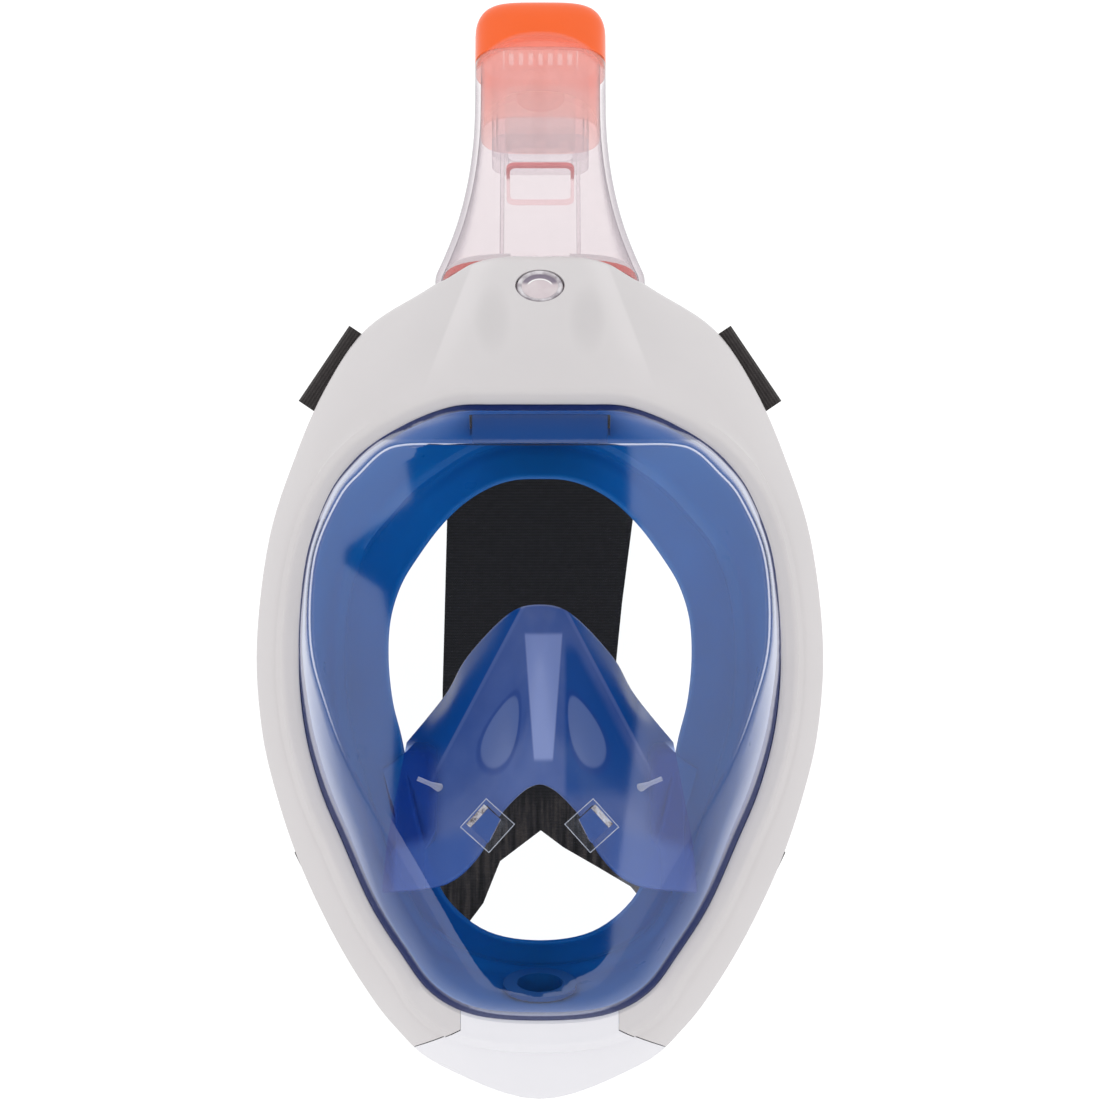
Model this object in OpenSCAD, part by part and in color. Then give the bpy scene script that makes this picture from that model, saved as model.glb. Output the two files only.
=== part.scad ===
// Full-face snorkel mask: framed window, silicone face seal, nose cup and plug-in dry-top snorkel.
// The flat front of the window lies in the plane Y = 0, the face side is +Y and +Z is up.

/* [Mask] */
// width of the frame across its widest point, mm
frame_w = 185.2; // [178:0.2:192]
// height of the frame from chin to hood, mm
frame_h = 275.4; // [266:0.2:284]
// wall of the frame and the chin guard, mm
frame_wall = 2.2; // [1.8:0.1:2.4]
// thickness of the window, mm
visor_wall = 2.2; // [2:0.1:2.4]
// thickness of the silicone face skirt, mm
skirt_wall = 2.0; // [1.6:0.1:2.2]
// thickness of the nose cup, mm
cup_wall = 1.6; // [1.2:0.1:1.8]

/* [Snorkel] */
// width of the snorkel where it enters the hood, mm
snorkel_w = 70; // [68:0.5:71]
// width of the snorkel under its cap, mm
snorkel_top_w = 45; // [43:0.5:46]
// depth of the snorkel, front to back, mm
snorkel_d = 29; // [28:0.5:29.5]
// wall of the snorkel tube, mm
snorkel_wall = 2; // [1.6:0.1:2.2]
// how far the snorkel plugs into the hood, mm
plug_depth = 22; // [20:1:23]
// diameter of the release button, mm
button_dia = 15.4; // [13:0.2:16]

/* [Valves] */
// side of the square inlet valve seats, mm
inlet_side = 12.4; // [11:0.2:13]
// how far the float rises to shut the snorkel, mm
float_travel = 5; // [3:0.5:5]
// bore of the drain valve seat, mm
drain_bore = 15; // [12:0.5:16]

/* [Strap] */
// width of the strap arms, mm
strap_w = 30; // [25:0.5:30]
// thickness of the strap, mm
strap_t = 1.6; // [1.2:0.1:1.8]

/* [Show] */
// which piece to draw

/* [Hidden] */
$fn = 48;

steps = 2;                    // stations between two outline points
gap = 0.3;                    // clearance between fixed neighbours
sx = frame_w / 185.2;         // outlines below are drawn for a 185.2 by 275.4 mm frame
sz = frame_h / 275.4;

// Half outlines from the top middle round the +X side to the bottom middle: [x, y, z]
rim_half = [
    [0, 22, 96], [14, 22, 96], [27, 22, 95.6], [39, 22.5, 91.8], [50, 23, 85.8], [60, 24, 78],
    [68.5, 25.5, 65.6], [75, 27.5, 45.5], [78.1, 29, 17.5], [76.7, 29, -6.5], [71.5, 28, -27.5],
    [64, 26, -45.4], [55, 23, -65.3], [45, 20.5, -80.9], [35, 18, -93.6], [21, 16.5, -100.6],
    [0, 16, -102.3]
];
edge_half = [
    [0, 61, 146], [13, 61, 145.8], [24, 61, 142.8], [38, 60.5, 134.5], [57, 58, 122], [70, 54, 102.8],
    [80, 50, 80], [88.5, 46, 53], [92.6, 45, 19], [91, 44, -9], [86, 43, -31], [78.5, 42, -53],
    [68, 40, -75], [57.5, 38.5, -92.6], [47, 37, -106.2], [32.5, 35.5, -118.4], [0, 34, -129.4]
];
front_half = [
    [0, 0, 83.4], [16, 0, 83.4], [31, 0, 83.4], [43, 0, 83.2], [50, 0, 81.2], [57, 0, 74.8],
    [64.4, 0, 66], [72.2, 0, 47], [73.6, 0, 20], [68.2, 0, -2], [61, 0, -20.5], [52.6, 0, -36],
    [43.4, 0, -51.5], [34, 0, -67.5], [26, 0, -81], [17.5, 0, -91], [0, 0, -93.5]
];
fold_half = [
    [0, 62, 86], [11, 62, 85.5], [22, 62.5, 82], [32, 64, 76], [41.5, 66, 69], [50, 69, 60],
    [58, 72, 50], [64, 76, 36], [66.5, 80, 15], [65.5, 80, -4], [61.5, 79, -21], [56.5, 77, -37],
    [51, 74, -53], [44, 71, -67], [35.5, 68, -79], [20, 66, -87], [0, 66, -90]
];
lip_half = [
    [0, 56, 73], [9, 56, 72.5], [17.5, 56.5, 69.7], [26, 58, 64.3], [33.5, 60, 56.8], [40.5, 63, 47.5],
    [46.5, 66, 37.7], [50.2, 70, 26], [51, 73, 12.5], [49.6, 73, -1.5], [46.6, 72, -13.5],
    [44, 70, -26.5], [41, 67, -40.5], [37, 64, -54.5], [30.5, 62, -67.5], [17.5, 60, -77.5],
    [0, 60, -80.5]
];

// Rows of the nose cup, from its face edge to its front edge, each from the middle to the +X side
cup_rows = [
    [[0, 47, 31], [10, 49, 28], [24, 55, 15], [31, 58, 2], [43.5, 62, -15]],
    [[0, 27, 15], [9, 33, 11], [23, 40, -1], [33, 44, -13], [46, 50, -29]],
    [[0, 13, -5], [10, 18, -12], [22, 23, -24], [34, 27, -36], [49, 33, -46]],
    [[0, 9, -25.5], [12.5, 10.5, -35], [20, 11.5, -49], [31, 14, -58], [50.5, 22.5, -61]]
];
// Rows of the skirt's nose band, behind the nose cup
band_rows = [
    [[0, 53, 28], [10, 55, 25], [24, 60, 12], [32, 64, -2], [44, 69, -18], [52, 73.5, -24]],
    [[0, 58, 20], [9, 60, 16], [21, 64, 3], [30, 67, -10], [41, 70, -25], [50, 73, -32]],
    [[0, 62, 11], [8, 63.5, 7], [18, 66.5, -6], [28, 69, -18], [38, 70.5, -31], [48, 72.5, -40]]
];

// Snorkel axis: straight in the hood, then an arc up to the straight top
plug_lean = 45;
top_lean = 27;
arc_from = 16;
arc_to = 72;
hood_top = [0, edge_half[0].y, edge_half[0].z * sz];
lift_dir = [0, sin(plug_lean), cos(plug_lean)];
hood_dir = [0, -cos(plug_lean), sin(plug_lean)];
mouth = hood_top - (frame_wall + 0.5 + snorkel_d / 2) * hood_dir;
arc_r = (arc_to - arc_from) / ((plug_lean - top_lean) * PI / 180);
cap_from = 103;
cap_to = 126;

// Soft goods and valves
strap_y = 185;
valve_turn = 48;
inlet_at = [16.6, 4.2, -38.8];
flap_t = 0.8;
flap_bead = 0.8;
drain_lean = 19;
drain_at = [0, 47, -97.2];
float_at = 81;
float_w = 24;
float_d = 17;
seal_t = 1.8;
float_low = -10.2;
float_h = 13 + gap - 0.1 - float_travel - seal_t - float_low;
house_w = 33;
house_d = 22;
pin_r = 0.75;

// ---------- helpers ----------

function unit(v) = v / norm(v);

function scaled(p) = [p.x * sx, p.y, p.z * sz];

function mirrored(p) = [-p.x, p.y, p.z];

// Catmull-Rom curve between b and c
function between(a, b, c, d, t) =
    b + 0.5 * t * (c - a + t * (2 * a - 5 * b + 4 * c - d + t * (3 * (b - c) + d - a)));

// A half outline scaled, mirrored to a full loop and rounded
function loop(half) = let (
        points = [for (p = half) scaled(p)],
        back = [for (i = [len(half) - 2 : -1 : 1]) mirrored(points[i])],
        all = concat(points, back),
        n = len(all)
    ) [for (i = [0 : n - 1]) for (k = [0 : steps - 1])
        between(all[(i + n - 1) % n], all[i], all[(i + 1) % n], all[(i + 2) % n], k / steps)];

// An open row of points mirrored about its first point and rounded with k steps a span
function row(half, k) = let (
        back = [for (i = [len(half) - 1 : -1 : 1]) mirrored(scaled(half[i]))],
        all = concat(back, [for (p = half) scaled(p)]),
        n = len(all)
    ) concat([for (i = [0 : n - 2]) for (j = [0 : k - 1])
        between(all[max(i - 1, 0)], all[i], all[i + 1], all[min(i + 2, n - 1)], j / k)], [all[n - 1]]);

// Rows added between control rows, k steps a span
function rounded_rows(rows, k) = let (n = len(rows)) concat(
        [for (i = [0 : n - 2]) for (j = [0 : k - 1]) [for (u = [0 : len(rows[0]) - 1])
            between(rows[max(i - 1, 0)][u], rows[i][u], rows[i + 1][u],
                rows[min(i + 2, n - 1)][u], j / k)]],
        [rows[n - 1]]);

function grid_normal(g, j, i, wrap) = let (
        m = len(g) - 1,
        n = len(g[0]),
        before = wrap ? (i + n - 1) % n : max(i - 1, 0),
        after = wrap ? (i + 1) % n : min(i + 1, n - 1)
    ) unit(cross(g[min(j + 1, m)][i] - g[max(j - 1, 0)][i], g[j][after] - g[j][before]));

// A sheet of the given thickness over a grid of points; wrap joins its last column to its first
module sheet(g, thickness, wrap = true) {
    m = len(g);
    n = len(g[0]);
    half = thickness / 2;
    side = m * n;
    cells = wrap ? n - 1 : n - 2;
    over = [for (j = [0 : m - 1]) for (i = [0 : n - 1]) g[j][i] + half * grid_normal(g, j, i, wrap)];
    under = [for (j = [0 : m - 1]) for (i = [0 : n - 1]) g[j][i] - half * grid_normal(g, j, i, wrap)];
    skin = [for (j = [0 : m - 2]) for (i = [0 : cells]) let (
            a = j * n + i,
            b = a + n,
            d = j * n + (i + 1) % n,
            c = d + n
        ) for (f = [[a, c, b], [a, d, c], [side + a, side + b, side + c], [side + a, side + c, side + d]]) f];
    rims = [for (i = [0 : cells]) let (
            a = i,
            d = (i + 1) % n,
            p = (m - 1) * n + a,
            q = (m - 1) * n + d
        ) for (f = [[a, side + a, side + d], [a, side + d, d], [p, q, side + q], [p, side + q, side + p]]) f];
    ends = wrap ? [] : [for (j = [0 : m - 2]) let (
            a = j * n,
            b = a + n,
            p = a + n - 1,
            q = p + n
        ) for (f = [[a, b, side + b], [a, side + b, side + a], [p, side + q, q], [p, side + p, side + q]]) f];
    polyhedron(points = concat(over, under), faces = concat(skin, rims, ends));
}

// A solid through a list of flat convex rings
module loft(rings) {
    m = len(rings);
    n = len(rings[0]);
    sides = [for (j = [0 : m - 2]) for (i = [0 : n - 1]) let (
            a = j * n + i,
            d = j * n + (i + 1) % n
        ) for (f = [[a, a + n, d + n], [a, d + n, d]]) f];
    low = [for (i = [0 : n - 1]) i];
    high = [for (i = [n - 1 : -1 : 0]) (m - 1) * n + i];
    polyhedron(points = [for (r = rings) for (p = r) p], faces = concat(sides, [low, high]));
}

module rounded_box(w, d, h, r) {
    linear_extrude(h) {
        square([w - 2 * r, d], center = true);
        square([w, d - 2 * r], center = true);
        for (x = [-1, 1], y = [-1, 1])
            translate([x * (w / 2 - r), y * (d / 2 - r)]) circle(r);
    }
}

module mirror_if(side) {
    if (side < 0) mirror([1, 0, 0]) children();
    else children();
}

// ---------- frame, chin guard, clamp ring and window ----------

rim = loop(rim_half);
edge = loop(edge_half);
front = loop(front_half);
stations = len(rim);

function across(i) = [edge[i].x - rim[i].x, 0, edge[i].z - rim[i].z];

// A point s outwards from the rim at station i, at depth y
function rim_point(i, s, y) = [rim[i].x, y, rim[i].z] + s * unit(across(i));

// The frame bows more at the sides than at the hood
function bow(i) = 1.6 + 0.5 * min(1, max(0, (60 - edge[i].y) / 8));

function brow(i, f) = rim[i].y + (edge[i].y - rim[i].y) * pow(f, bow(i));

module frame_shell() {
    h = frame_wall / 2;
    ring = [for (i = [0 : stations - 1]) let (w = norm(across(i))) [
        rim_point(i, h, rim[i].y + 2.8),
        rim_point(i, h, rim[i].y + 1.2),
        rim_point(i, h + 1.3, rim[i].y + 0.6),
        rim_point(i, 0.27 * w, brow(i, 0.27) + 0.4),
        rim_point(i, 0.46 * w, brow(i, 0.46)),
        rim_point(i, 0.66 * w, brow(i, 0.66)),
        rim_point(i, 0.84 * w, brow(i, 0.84)),
        rim_point(i, w - h, edge[i].y),
        rim_point(i, w - h - 1.2, edge[i].y + 5),
        rim_point(i, w - h - 4, edge[i].y + 14)
    ]];
    sheet([for (j = [0 : len(ring[0]) - 1]) [for (r = ring) r[j]]], frame_wall);
}

// Outline of the chin guard as seen from the front
module chin_outline(grow) {
    corner = [25.5 * sx, -105 * sz];
    foot = [39.5 * sx, -111.4 * sz];
    translate([0, 80, 0])
        rotate([90, 0, 0])
        linear_extrude(90)
        offset(delta = grow)
        polygon([[-corner.x, -90], [-corner.x, corner.y], [-foot.x, foot.y], [-80, foot.y - 20],
            [-80, -160], [80, -160], [80, foot.y - 20], foot, corner, [corner.x, -90]]);
}

// Straight passage that the snorkel slides through, d deep and w wide
module passage(w, d, from, to, r) {
    translate(mouth + from * lift_dir)
        rotate([-plug_lean, 0, 0])
        rounded_box(w, d, to - from, r);
}

// Places its children at the middle of a strap anchor, x along the frame's edge and z outwards
module at_anchor(place) {
    translate([place[0] * sx, place[1], place[2] * sz])
        rotate([0, place[3], 0])
        children();
}

upper_anchor = [66.2, 55.4, 107.2, 56];
lower_anchor = [73.4, 41.2, -63.4, 115.5];

module strap_slots() {
    for (side = [-1, 1], place = [upper_anchor, lower_anchor])
        mirror_if(side)
            at_anchor(place)
            translate([-strap_w / 2 - 0.8, 4, -10])
            cube([strap_w + 1.6, 3.6, 16]);
}

module face_frame() {
    color([0.84, 0.83, 0.83])
        difference() {
            frame_shell();
            chin_outline(0.15);
            passage(snorkel_w + 1, snorkel_d + 1, -plug_depth - 1, 70, 9);
            translate(button_at)
                rotate([plug_lean, 0, 0])
                translate([0, 0, -6])
                cylinder(d = button_dia + 0.8, h = 16);
            strap_slots();
        }
}

module chin_guard() {
    color([0.93, 0.93, 0.95])
        intersection() {
            frame_shell();
            chin_outline(-0.15);
        }
}

module clamp_ring() {
    ring = [for (i = [0 : stations - 1]) let (w = norm(across(i)), y = rim[i].y, e = edge[i].y) [
        rim_point(i, 1.4, y + 10),
        rim_point(i, 0.2 * w + 1, y + 10 + 0.1 * (e - y)),
        rim_point(i, 0.5 * w, y + 10 + 0.4 * (e - y)),
        rim_point(i, w - 4.4, e + 1.4)
    ]];
    color([0.78, 0.78, 0.8])
        difference() {
            sheet([for (j = [0 : 3]) [for (r = ring) r[j]]], 2);
            passage(snorkel_w + 2.4, snorkel_d + 2.4, -54, 70, 9);
            translate([-22.6, 31, 70]) cube([45.2, 26, 50]);
        }
}

module visor() {
    h = visor_wall / 2;
    ring = [for (i = [0 : stations - 1]) let (
            f = front[i],
            r = rim[i],
            inward = -unit([f.x, 0, f.z])
        ) [
        [f.x, 1.3, f.z] + 1.2 * inward,
        [f.x + 0.6 * (r.x - f.x), 0.36 * r.y, f.z + 0.6 * (r.z - f.z)] + 0.4 * inward,
        rim_point(i, -2.6, 0.7 * r.y),
        rim_point(i, -h - 0.5, r.y - 1),
        rim_point(i, -h - 0.5, r.y + 2.5),
        rim_point(i, -0.6, r.y + 4.5),
        rim_point(i, 3.6, r.y + 4.6)
    ]];
    color([0.75, 0.85, 0.95, 0.3])
        union() {
            sheet([for (j = [0 : 6]) [for (r = ring) r[j]]], visor_wall);
            translate([0, visor_wall, 0])
                rotate([90, 0, 0])
                linear_extrude(visor_wall)
                polygon([for (p = front) [p.x, p.z] - 0.3 * unit([p.x, p.z])]);
        }
}

// ---------- face skirt and nose cup ----------

module face_skirt() {
    fold = loop(fold_half);
    lip = loop(lip_half);
    ring = [for (i = [0 : stations - 1]) let (
            y = rim[i].y,
            start = rim_point(i, -1.6, y + 11),
            b = fold[i],
            e = lip[i],
            out = unit([b.x - e.x, 0, b.z - e.z])
        ) [
        rim_point(i, 4, y + 7.1),
        rim_point(i, 1, y + 7.1),
        rim_point(i, -1, y + 8.3),
        start,
        start + 0.4 * (b - start) + 1.5 * out,
        start + 0.75 * (b - start) + 1.8 * out,
        b + [0, -4, 0] + 0.4 * out,
        b - 2.5 * out,
        0.5 * (b + e) + [0, 1, 0],
        e
    ]];
    nose = rounded_rows([for (r = band_rows) row(r, 3)], 1);
    color([0.0, 0.2, 0.45])
        difference() {
            union() {
                sheet([for (j = [0 : len(ring[0]) - 1]) [for (r = ring) r[j]]], skirt_wall);
                sheet(nose, skirt_wall, false);
            }
            translate([-23, 35, 74]) cube([46, 18.6, 26]);
            translate(drain_at)
                rotate([drain_lean, 0, 0])
                translate([0, 0, -12])
                cylinder(d = drain_bore + 5.6, h = 30);
        }
}

module nose_cup() {
    rows = rounded_rows([for (r = cup_rows) row(r, 3)], 3);
    color([0.25, 0.35, 0.65, 0.8])
        difference() {
            sheet(rows, cup_wall, false);
            cup_pins(0.1);
            for (side = [-1, 1])
                mirror_if(side)
                    at_inlet()
                    translate([0, 8, 0])
                    cube([inlet_side + 1, 24, inlet_side + 1], center = true);
        }
}

// Two clear pegs with a flared foot that pin the nose cup to the skirt
module cup_pins(grow = 0) {
    color([0.85, 0.88, 0.95])
        for (side = [-1, 1])
            mirror_if(side)
                translate([39.6 * sx, 30, -25 * sz])
                rotate([0, -113, 0])
                rotate_extrude()
                polygon([[0, -grow], [pin_r + grow, -grow], [pin_r + grow, 4.6], [1.5 + grow, 8],
                    [1.5 + grow, 8.8 + grow], [0, 8.8 + grow]]);
}

// ---------- inlet valves ----------

// Children's z points up and outwards to the hinge side, and y points to the face
module at_inlet() {
    translate(scaled(inlet_at))
        rotate([0, valve_turn, 0])
        children();
}

hinge_up = inlet_side / 2 - 1.6;

module inlet_seat(side) {
    color([0.85, 0.88, 0.95])
        mirror_if(side)
            at_inlet()
            difference() {
                translate([-inlet_side / 2, 0, -inlet_side / 2])
                    cube([inlet_side, 1.6, inlet_side]);
                rotate([90, 0, 0])
                    cylinder(d = inlet_side - 5, h = 10, center = true);
            }
}

module inlet_flap(side) {
    drop = inlet_side - 4;
    color([0.35, 0.45, 0.75])
        mirror_if(side)
            at_inlet()
            translate([0, 1.7 + flap_bead, hinge_up]) {
                rotate([0, 90, 0])
                    cylinder(r = flap_bead, h = inlet_side - 4, center = true);
                translate([-(inlet_side - 4) / 2, -flap_bead, -drop])
                    cube([inlet_side - 4, flap_t, drop]);
            }
}

// ---------- drain valve under the chin ----------

module at_drain() {
    translate([drain_at.x, drain_at.y, drain_at.z * sz])
        rotate([drain_lean, 0, 0])
        children();
}

module drain_seat() {
    color([0.85, 0.87, 0.9])
        at_drain()
        difference() {
            union() {
                translate([0, 0, -4]) cylinder(d = drain_bore + 5, h = 9);
                translate([0, 0, 3.4]) cylinder(d = drain_bore + 9, h = 1.6);
            }
            translate([0, 0, -5]) cylinder(d = drain_bore, h = 11);
        }
}

module drain_disc() {
    color([0.35, 0.45, 0.75])
        at_drain()
        translate([0, 0, -5.2])
        cylinder(d = drain_bore + 3, h = 1);
}

module drain_grille() {
    color([0.8, 0.8, 0.82])
        at_drain()
        difference() {
            translate([0, 0, -8.6]) cylinder(d = drain_bore + 8.4, h = 6.2);
            translate([0, 0, -7.4]) cylinder(d = drain_bore + 5.6, h = 8);
            for (x = [-2 : 2])
                translate([x * 3.2 - 0.8, -7, -10]) cube([1.6, 14, 4]);
        }
}

// ---------- air duct in the hood ----------

duct_w = snorkel_w - 2 * snorkel_wall - 4;
duct_d = snorkel_d - 2 * snorkel_wall - 2;
duct_low = -34;
duct_high = 8;
bore_d = duct_d - 3.2;
exhale_x = duct_w * 0.345;
exhale_w = duct_w * 0.24;
flap_hinge = -6.4;
seat_t = 2;

// Straight plug with the snorkel's own section
module plug(w, d, from, to) {
    loft([section(from, w, d), section(to, w, d)]);
}

// Three channels side by side: intake in the middle, exhale on both sides
module air_duct() {
    color([0.85, 0.87, 0.9])
        difference() {
            union() {
                plug(duct_w, duct_d, duct_low, duct_high);
                translate([-22, 36, 84]) cube([44, 16.4, 30]);
            }
            translate(-1.25 * hood_dir)
                passage(duct_w * 0.42, bore_d - 2.5, duct_low + 6, duct_high + 1, 2);
            intersection() {
                plug(duct_w - 3.2, bore_d, duct_low + seat_t, duct_high + 1);
                for (x = [-1, 1])
                    translate([x * exhale_x, 0, 0])
                        passage(exhale_w, bore_d, duct_low, duct_high + 2, 2);
            }
            for (x = [-1, 1])
                translate([x * exhale_x, 0, 0])
                    passage(exhale_w - 4, 11, duct_low - 1, duct_low + seat_t + 1, 2);
            translate([-12.4, 38.2, 80]) cube([24.8, 12.4, 34]);
            translate((duct_d / 2 - 1.35) * hood_dir)
                passage(button_dia + 4.6, 2.7, -24, duct_high + 1, 0.5);
        }
}

// Silicone flap that lies on the seat at the foot of an exhale channel and lifts upwards
module exhale_flap(side) {
    w = exhale_w - 1;
    long = bore_d / 2 - 2.2 - flap_hinge;
    color([0.35, 0.45, 0.75])
        mirror_if(side)
            translate(mouth + (duct_low + seat_t + 0.2 + flap_bead) * lift_dir + [exhale_x, 0, 0])
            rotate([-plug_lean, 0, 0])
            translate([0, flap_hinge, 0]) {
                translate([0, 0, -flap_bead])
                    linear_extrude(flap_t)
                    polygon([[-w / 2, 0], [w / 2 - 1.6, 0], [w / 2, 2.5], [w / 2, 9], [w / 2 - 4, long],
                        [-w / 2, long]]);
                translate([-w / 2, 0, 0])
                    rotate([0, 90, 0])
                    cylinder(r = flap_bead, h = w - 3.6);
            }
}

module socket_gasket() {
    color([0.8, 0.15, 0.1])
        difference() {
            plug(duct_w + 3, duct_d + 1.3, 1, 4.4);
            plug(duct_w + 0.2, duct_d + 0.2, 0, 6);
        }
}

// ---------- snorkel ----------

function turned(t) = min(1, max(0, (t - arc_from) / (arc_to - arc_from)));

function lean(t) = plug_lean - (plug_lean - top_lean) * turned(t);

// Point of the snorkel axis, t from the hood's mouth
function axis_point(t) = let (
        a = lean(t),
        before = min(t, arc_from),
        after = max(0, t - arc_to)
    ) [0,
        mouth.y + before * sin(plug_lean) + arc_r * (cos(a) - cos(plug_lean)) + after * sin(top_lean),
        mouth.z + before * cos(plug_lean) + arc_r * (sin(plug_lean) - sin(a)) + after * cos(top_lean)];

// Width of the snorkel along its axis
function flare(t) = t < 4 ? 1 : pow(max(0, 1 - (t - 4) / 78), 1.9);

function width(t) = snorkel_top_w + (snorkel_w - snorkel_top_w) * flare(t);

// Rounded section across the axis at t, w wide and d deep
function section(t, w, d) = let (a = lean(t), c = axis_point(t)) [for (i = [0 : 35]) let (
        p = [w / 2 * sign(cos(i * 10)) * pow(abs(cos(i * 10)), 0.55),
            d / 2 * sign(sin(i * 10)) * pow(abs(sin(i * 10)), 0.62)]
    ) c + [p.x, p.y * cos(a), -p.y * sin(a)]];

// Places children on the snorkel axis, z along it and y to the back
module on_axis(t) {
    translate(axis_point(t)) rotate([-lean(t), 0, 0]) children();
}

tube_stops = [-plug_depth, 0, 4, 10, 18, 27, 37, 48, 60, 74, 90, cap_from - 0.3];

module snorkel_tube() {
    w = snorkel_wall;
    color([0.88, 0.87, 0.88, 0.4])
        difference() {
            sheet([for (t = tube_stops) section(t, width(t) - w, snorkel_d - w)], w);
            translate(button_at)
                rotate([plug_lean, 0, 0])
                translate([0, 0, -9])
                cylinder(d = button_dia + 0.8, h = 16);
        }
}

// Two partition walls that part the intake from the exhale channels, with the cartridge seat
module snorkel_ribs() {
    stops = [12, 20, 28, 36, 44, 52, 60, 66];
    deep = snorkel_d / 2 - snorkel_wall - 1.6;
    function side_point(t, s) = let (
            p = axis_point(t),
            a = lean(t)
        ) [p.y + s * deep * cos(a), p.z - s * deep * sin(a)];
    color([0.9, 0.9, 0.92, 0.5])
        union() {
            for (x = [-12.9, 12.9])
                translate([x - 0.6, 0, 0])
                    rotate([90, 0, 90])
                    linear_extrude(1.2)
                    polygon(concat([for (t = stops) side_point(t, -1)],
                        [for (i = [len(stops) - 1 : -1 : 0]) side_point(stops[i], 1)]));
            on_axis(66)
                difference() {
                    translate([0, 0, -3]) rounded_box(33, 2 * deep - 2.4, 4, 5);
                    translate([0, 0, -4]) rounded_box(22, 2 * deep - 8, 6, 3);
                }
        }
}

module cartridge_seal() {
    color([0.85, 0.2, 0.15])
        on_axis(52)
        difference() {
            rounded_box(23, 2 * (snorkel_d / 2 - snorkel_wall) - 3, 1.4, 3);
            translate([0, 0, -1]) rounded_box(20.6, 2 * (snorkel_d / 2 - snorkel_wall) - 6, 4, 2);
        }
}

module float_housing() {
    color([0.85, 0.88, 0.92, 0.5])
        on_axis(float_at)
        difference() {
            translate([0, 0, -12]) rounded_box(house_w, house_d, 25, 5);
            translate([0, 0, -10.4]) rounded_box(house_w - 3, house_d - 3, 30, 4);
            for (x = [-8, 0, 8])
                translate([x, 0, -14]) cylinder(d = 5, h = 6);
        }
}

module valve_seat() {
    color([0.85, 0.88, 0.92, 0.6])
        on_axis(float_at + 13 + gap)
        difference() {
            rounded_box(house_w, house_d, 2, 5);
            translate([0, 0, -1]) cylinder(d = 14, h = 6);
        }
}

module float_body() {
    color([0.95, 0.93, 0.92])
        on_axis(float_at)
        translate([0, 0, float_low])
        rounded_box(float_w, float_d, float_h, 4);
}

module float_seal() {
    color([0.8, 0.2, 0.15])
        on_axis(float_at)
        translate([0, 0, float_low + float_h])
        cylinder(d = 16.4, h = seal_t);
}

module snorkel_cap() {
    height = cap_to - cap_from;
    stops = [0, 0.25, 0.5, 0.68, 0.82, 0.92, 1];
    function fall(f) = max(0, 1 - pow((f - 0.5) / 0.5, 2) * 0.96);
    function round_in(f, r) = f < 0.5 ? 0 : r * (1 - sqrt(fall(f)));
    function inset(t) = 2 * snorkel_wall + 3 + (t > cap_to - 4 ? 5 : 0);
    color([0.99, 0.4, 0.2])
        difference() {
            union() {
                loft([for (f = stops) section(cap_from + f * height, snorkel_top_w - 2 * round_in(f, 5),
                    snorkel_d - 2 * round_in(f, 6))]);
                loft([for (t = [cap_from - 6, cap_from + 2])
                    section(t, snorkel_top_w - 2 * snorkel_wall - 0.6, snorkel_d - 2 * snorkel_wall - 0.6)]);
            }
            loft([for (t = [cap_from - 7, cap_to - 8, cap_to - 3])
                section(t, snorkel_top_w - inset(t), snorkel_d - inset(t))]);
            on_axis(cap_from + 4)
                translate([-13, 0, 0]) cube([26, 30, 9]);
        }
}

// Slatted screen in the cap's rear vent
module cap_vent_grille() {
    color([0.99, 0.4, 0.2])
        on_axis(cap_from + 4)
        translate([0, snorkel_d / 2 - 3.2, 0.4])
        difference() {
            translate([-12.6, 0, 0]) cube([25.2, 1.6, 8.2]);
            for (x = [-3 : 3])
                translate([x * 3.4 - 0.8, -1, 1.2]) cube([1.6, 4, 5.8]);
        }
}

// The round button stands in a hole in the tube and in the hood, and locks the snorkel until it is pressed
button_at = mouth - 13.2 * lift_dir + (snorkel_d / 2) * hood_dir;

module release_clip() {
    color([0.86, 0.82, 0.82, 0.7])
        translate(button_at)
        rotate([plug_lean, 0, 0])
        difference() {
            union() {
                translate([0, 0, -2.6]) cylinder(d = button_dia, h = 5.5);
                translate([0, 0, -snorkel_wall - 0.9]) cylinder(d = button_dia + 2.6, h = 0.7);
            }
            translate([0, 0, 1.8]) cylinder(d = button_dia - 3.6, h = 2);
        }
}

// ---------- strap ----------

// A band through a path of [point, width direction] rows of six numbers, w across and t thick
module band(path, w, t) {
    n = len(path);
    function place(i) = [path[i][0], path[i][1], path[i][2]];
    loft([for (i = [0 : n - 1]) let (
            dir = unit(place(min(i + 1, n - 1)) - place(max(i - 1, 0))),
            u = [path[i][3], path[i][4], path[i][5]],
            wide = unit(u - (u * dir) * dir),
            thick = cross(dir, wide),
            p = scaled(place(i))
        ) [p + wide * w / 2 + thick * t / 2, p - wide * w / 2 + thick * t / 2,
            p - wide * w / 2 - thick * t / 2, p + wide * w / 2 - thick * t / 2]]);
}

// Loop of webbing round the frame's rear edge: out is how far it stands outside the frame
module edge_loop(place, out) {
    h = 16;
    loop_in = 9.4;
    at_anchor(place)
        translate([-strap_w / 2, 4.8, 0])
        rotate([90, 0, 90])
        linear_extrude(strap_w)
        difference() {
            translate([0, -loop_in]) square([h, loop_in + out]);
            translate([strap_t, strap_t - loop_in]) square([h - 2 * strap_t, loop_in + out - 2 * strap_t]);
        }
}

function smooth_path(p, k) = let (n = len(p)) concat([for (i = [0 : n - 2]) for (j = [0 : k - 1])
        between(p[max(i - 1, 0)], p[i], p[i + 1], p[min(i + 2, n - 1)], j / k)], [p[n - 1]]);

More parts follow.
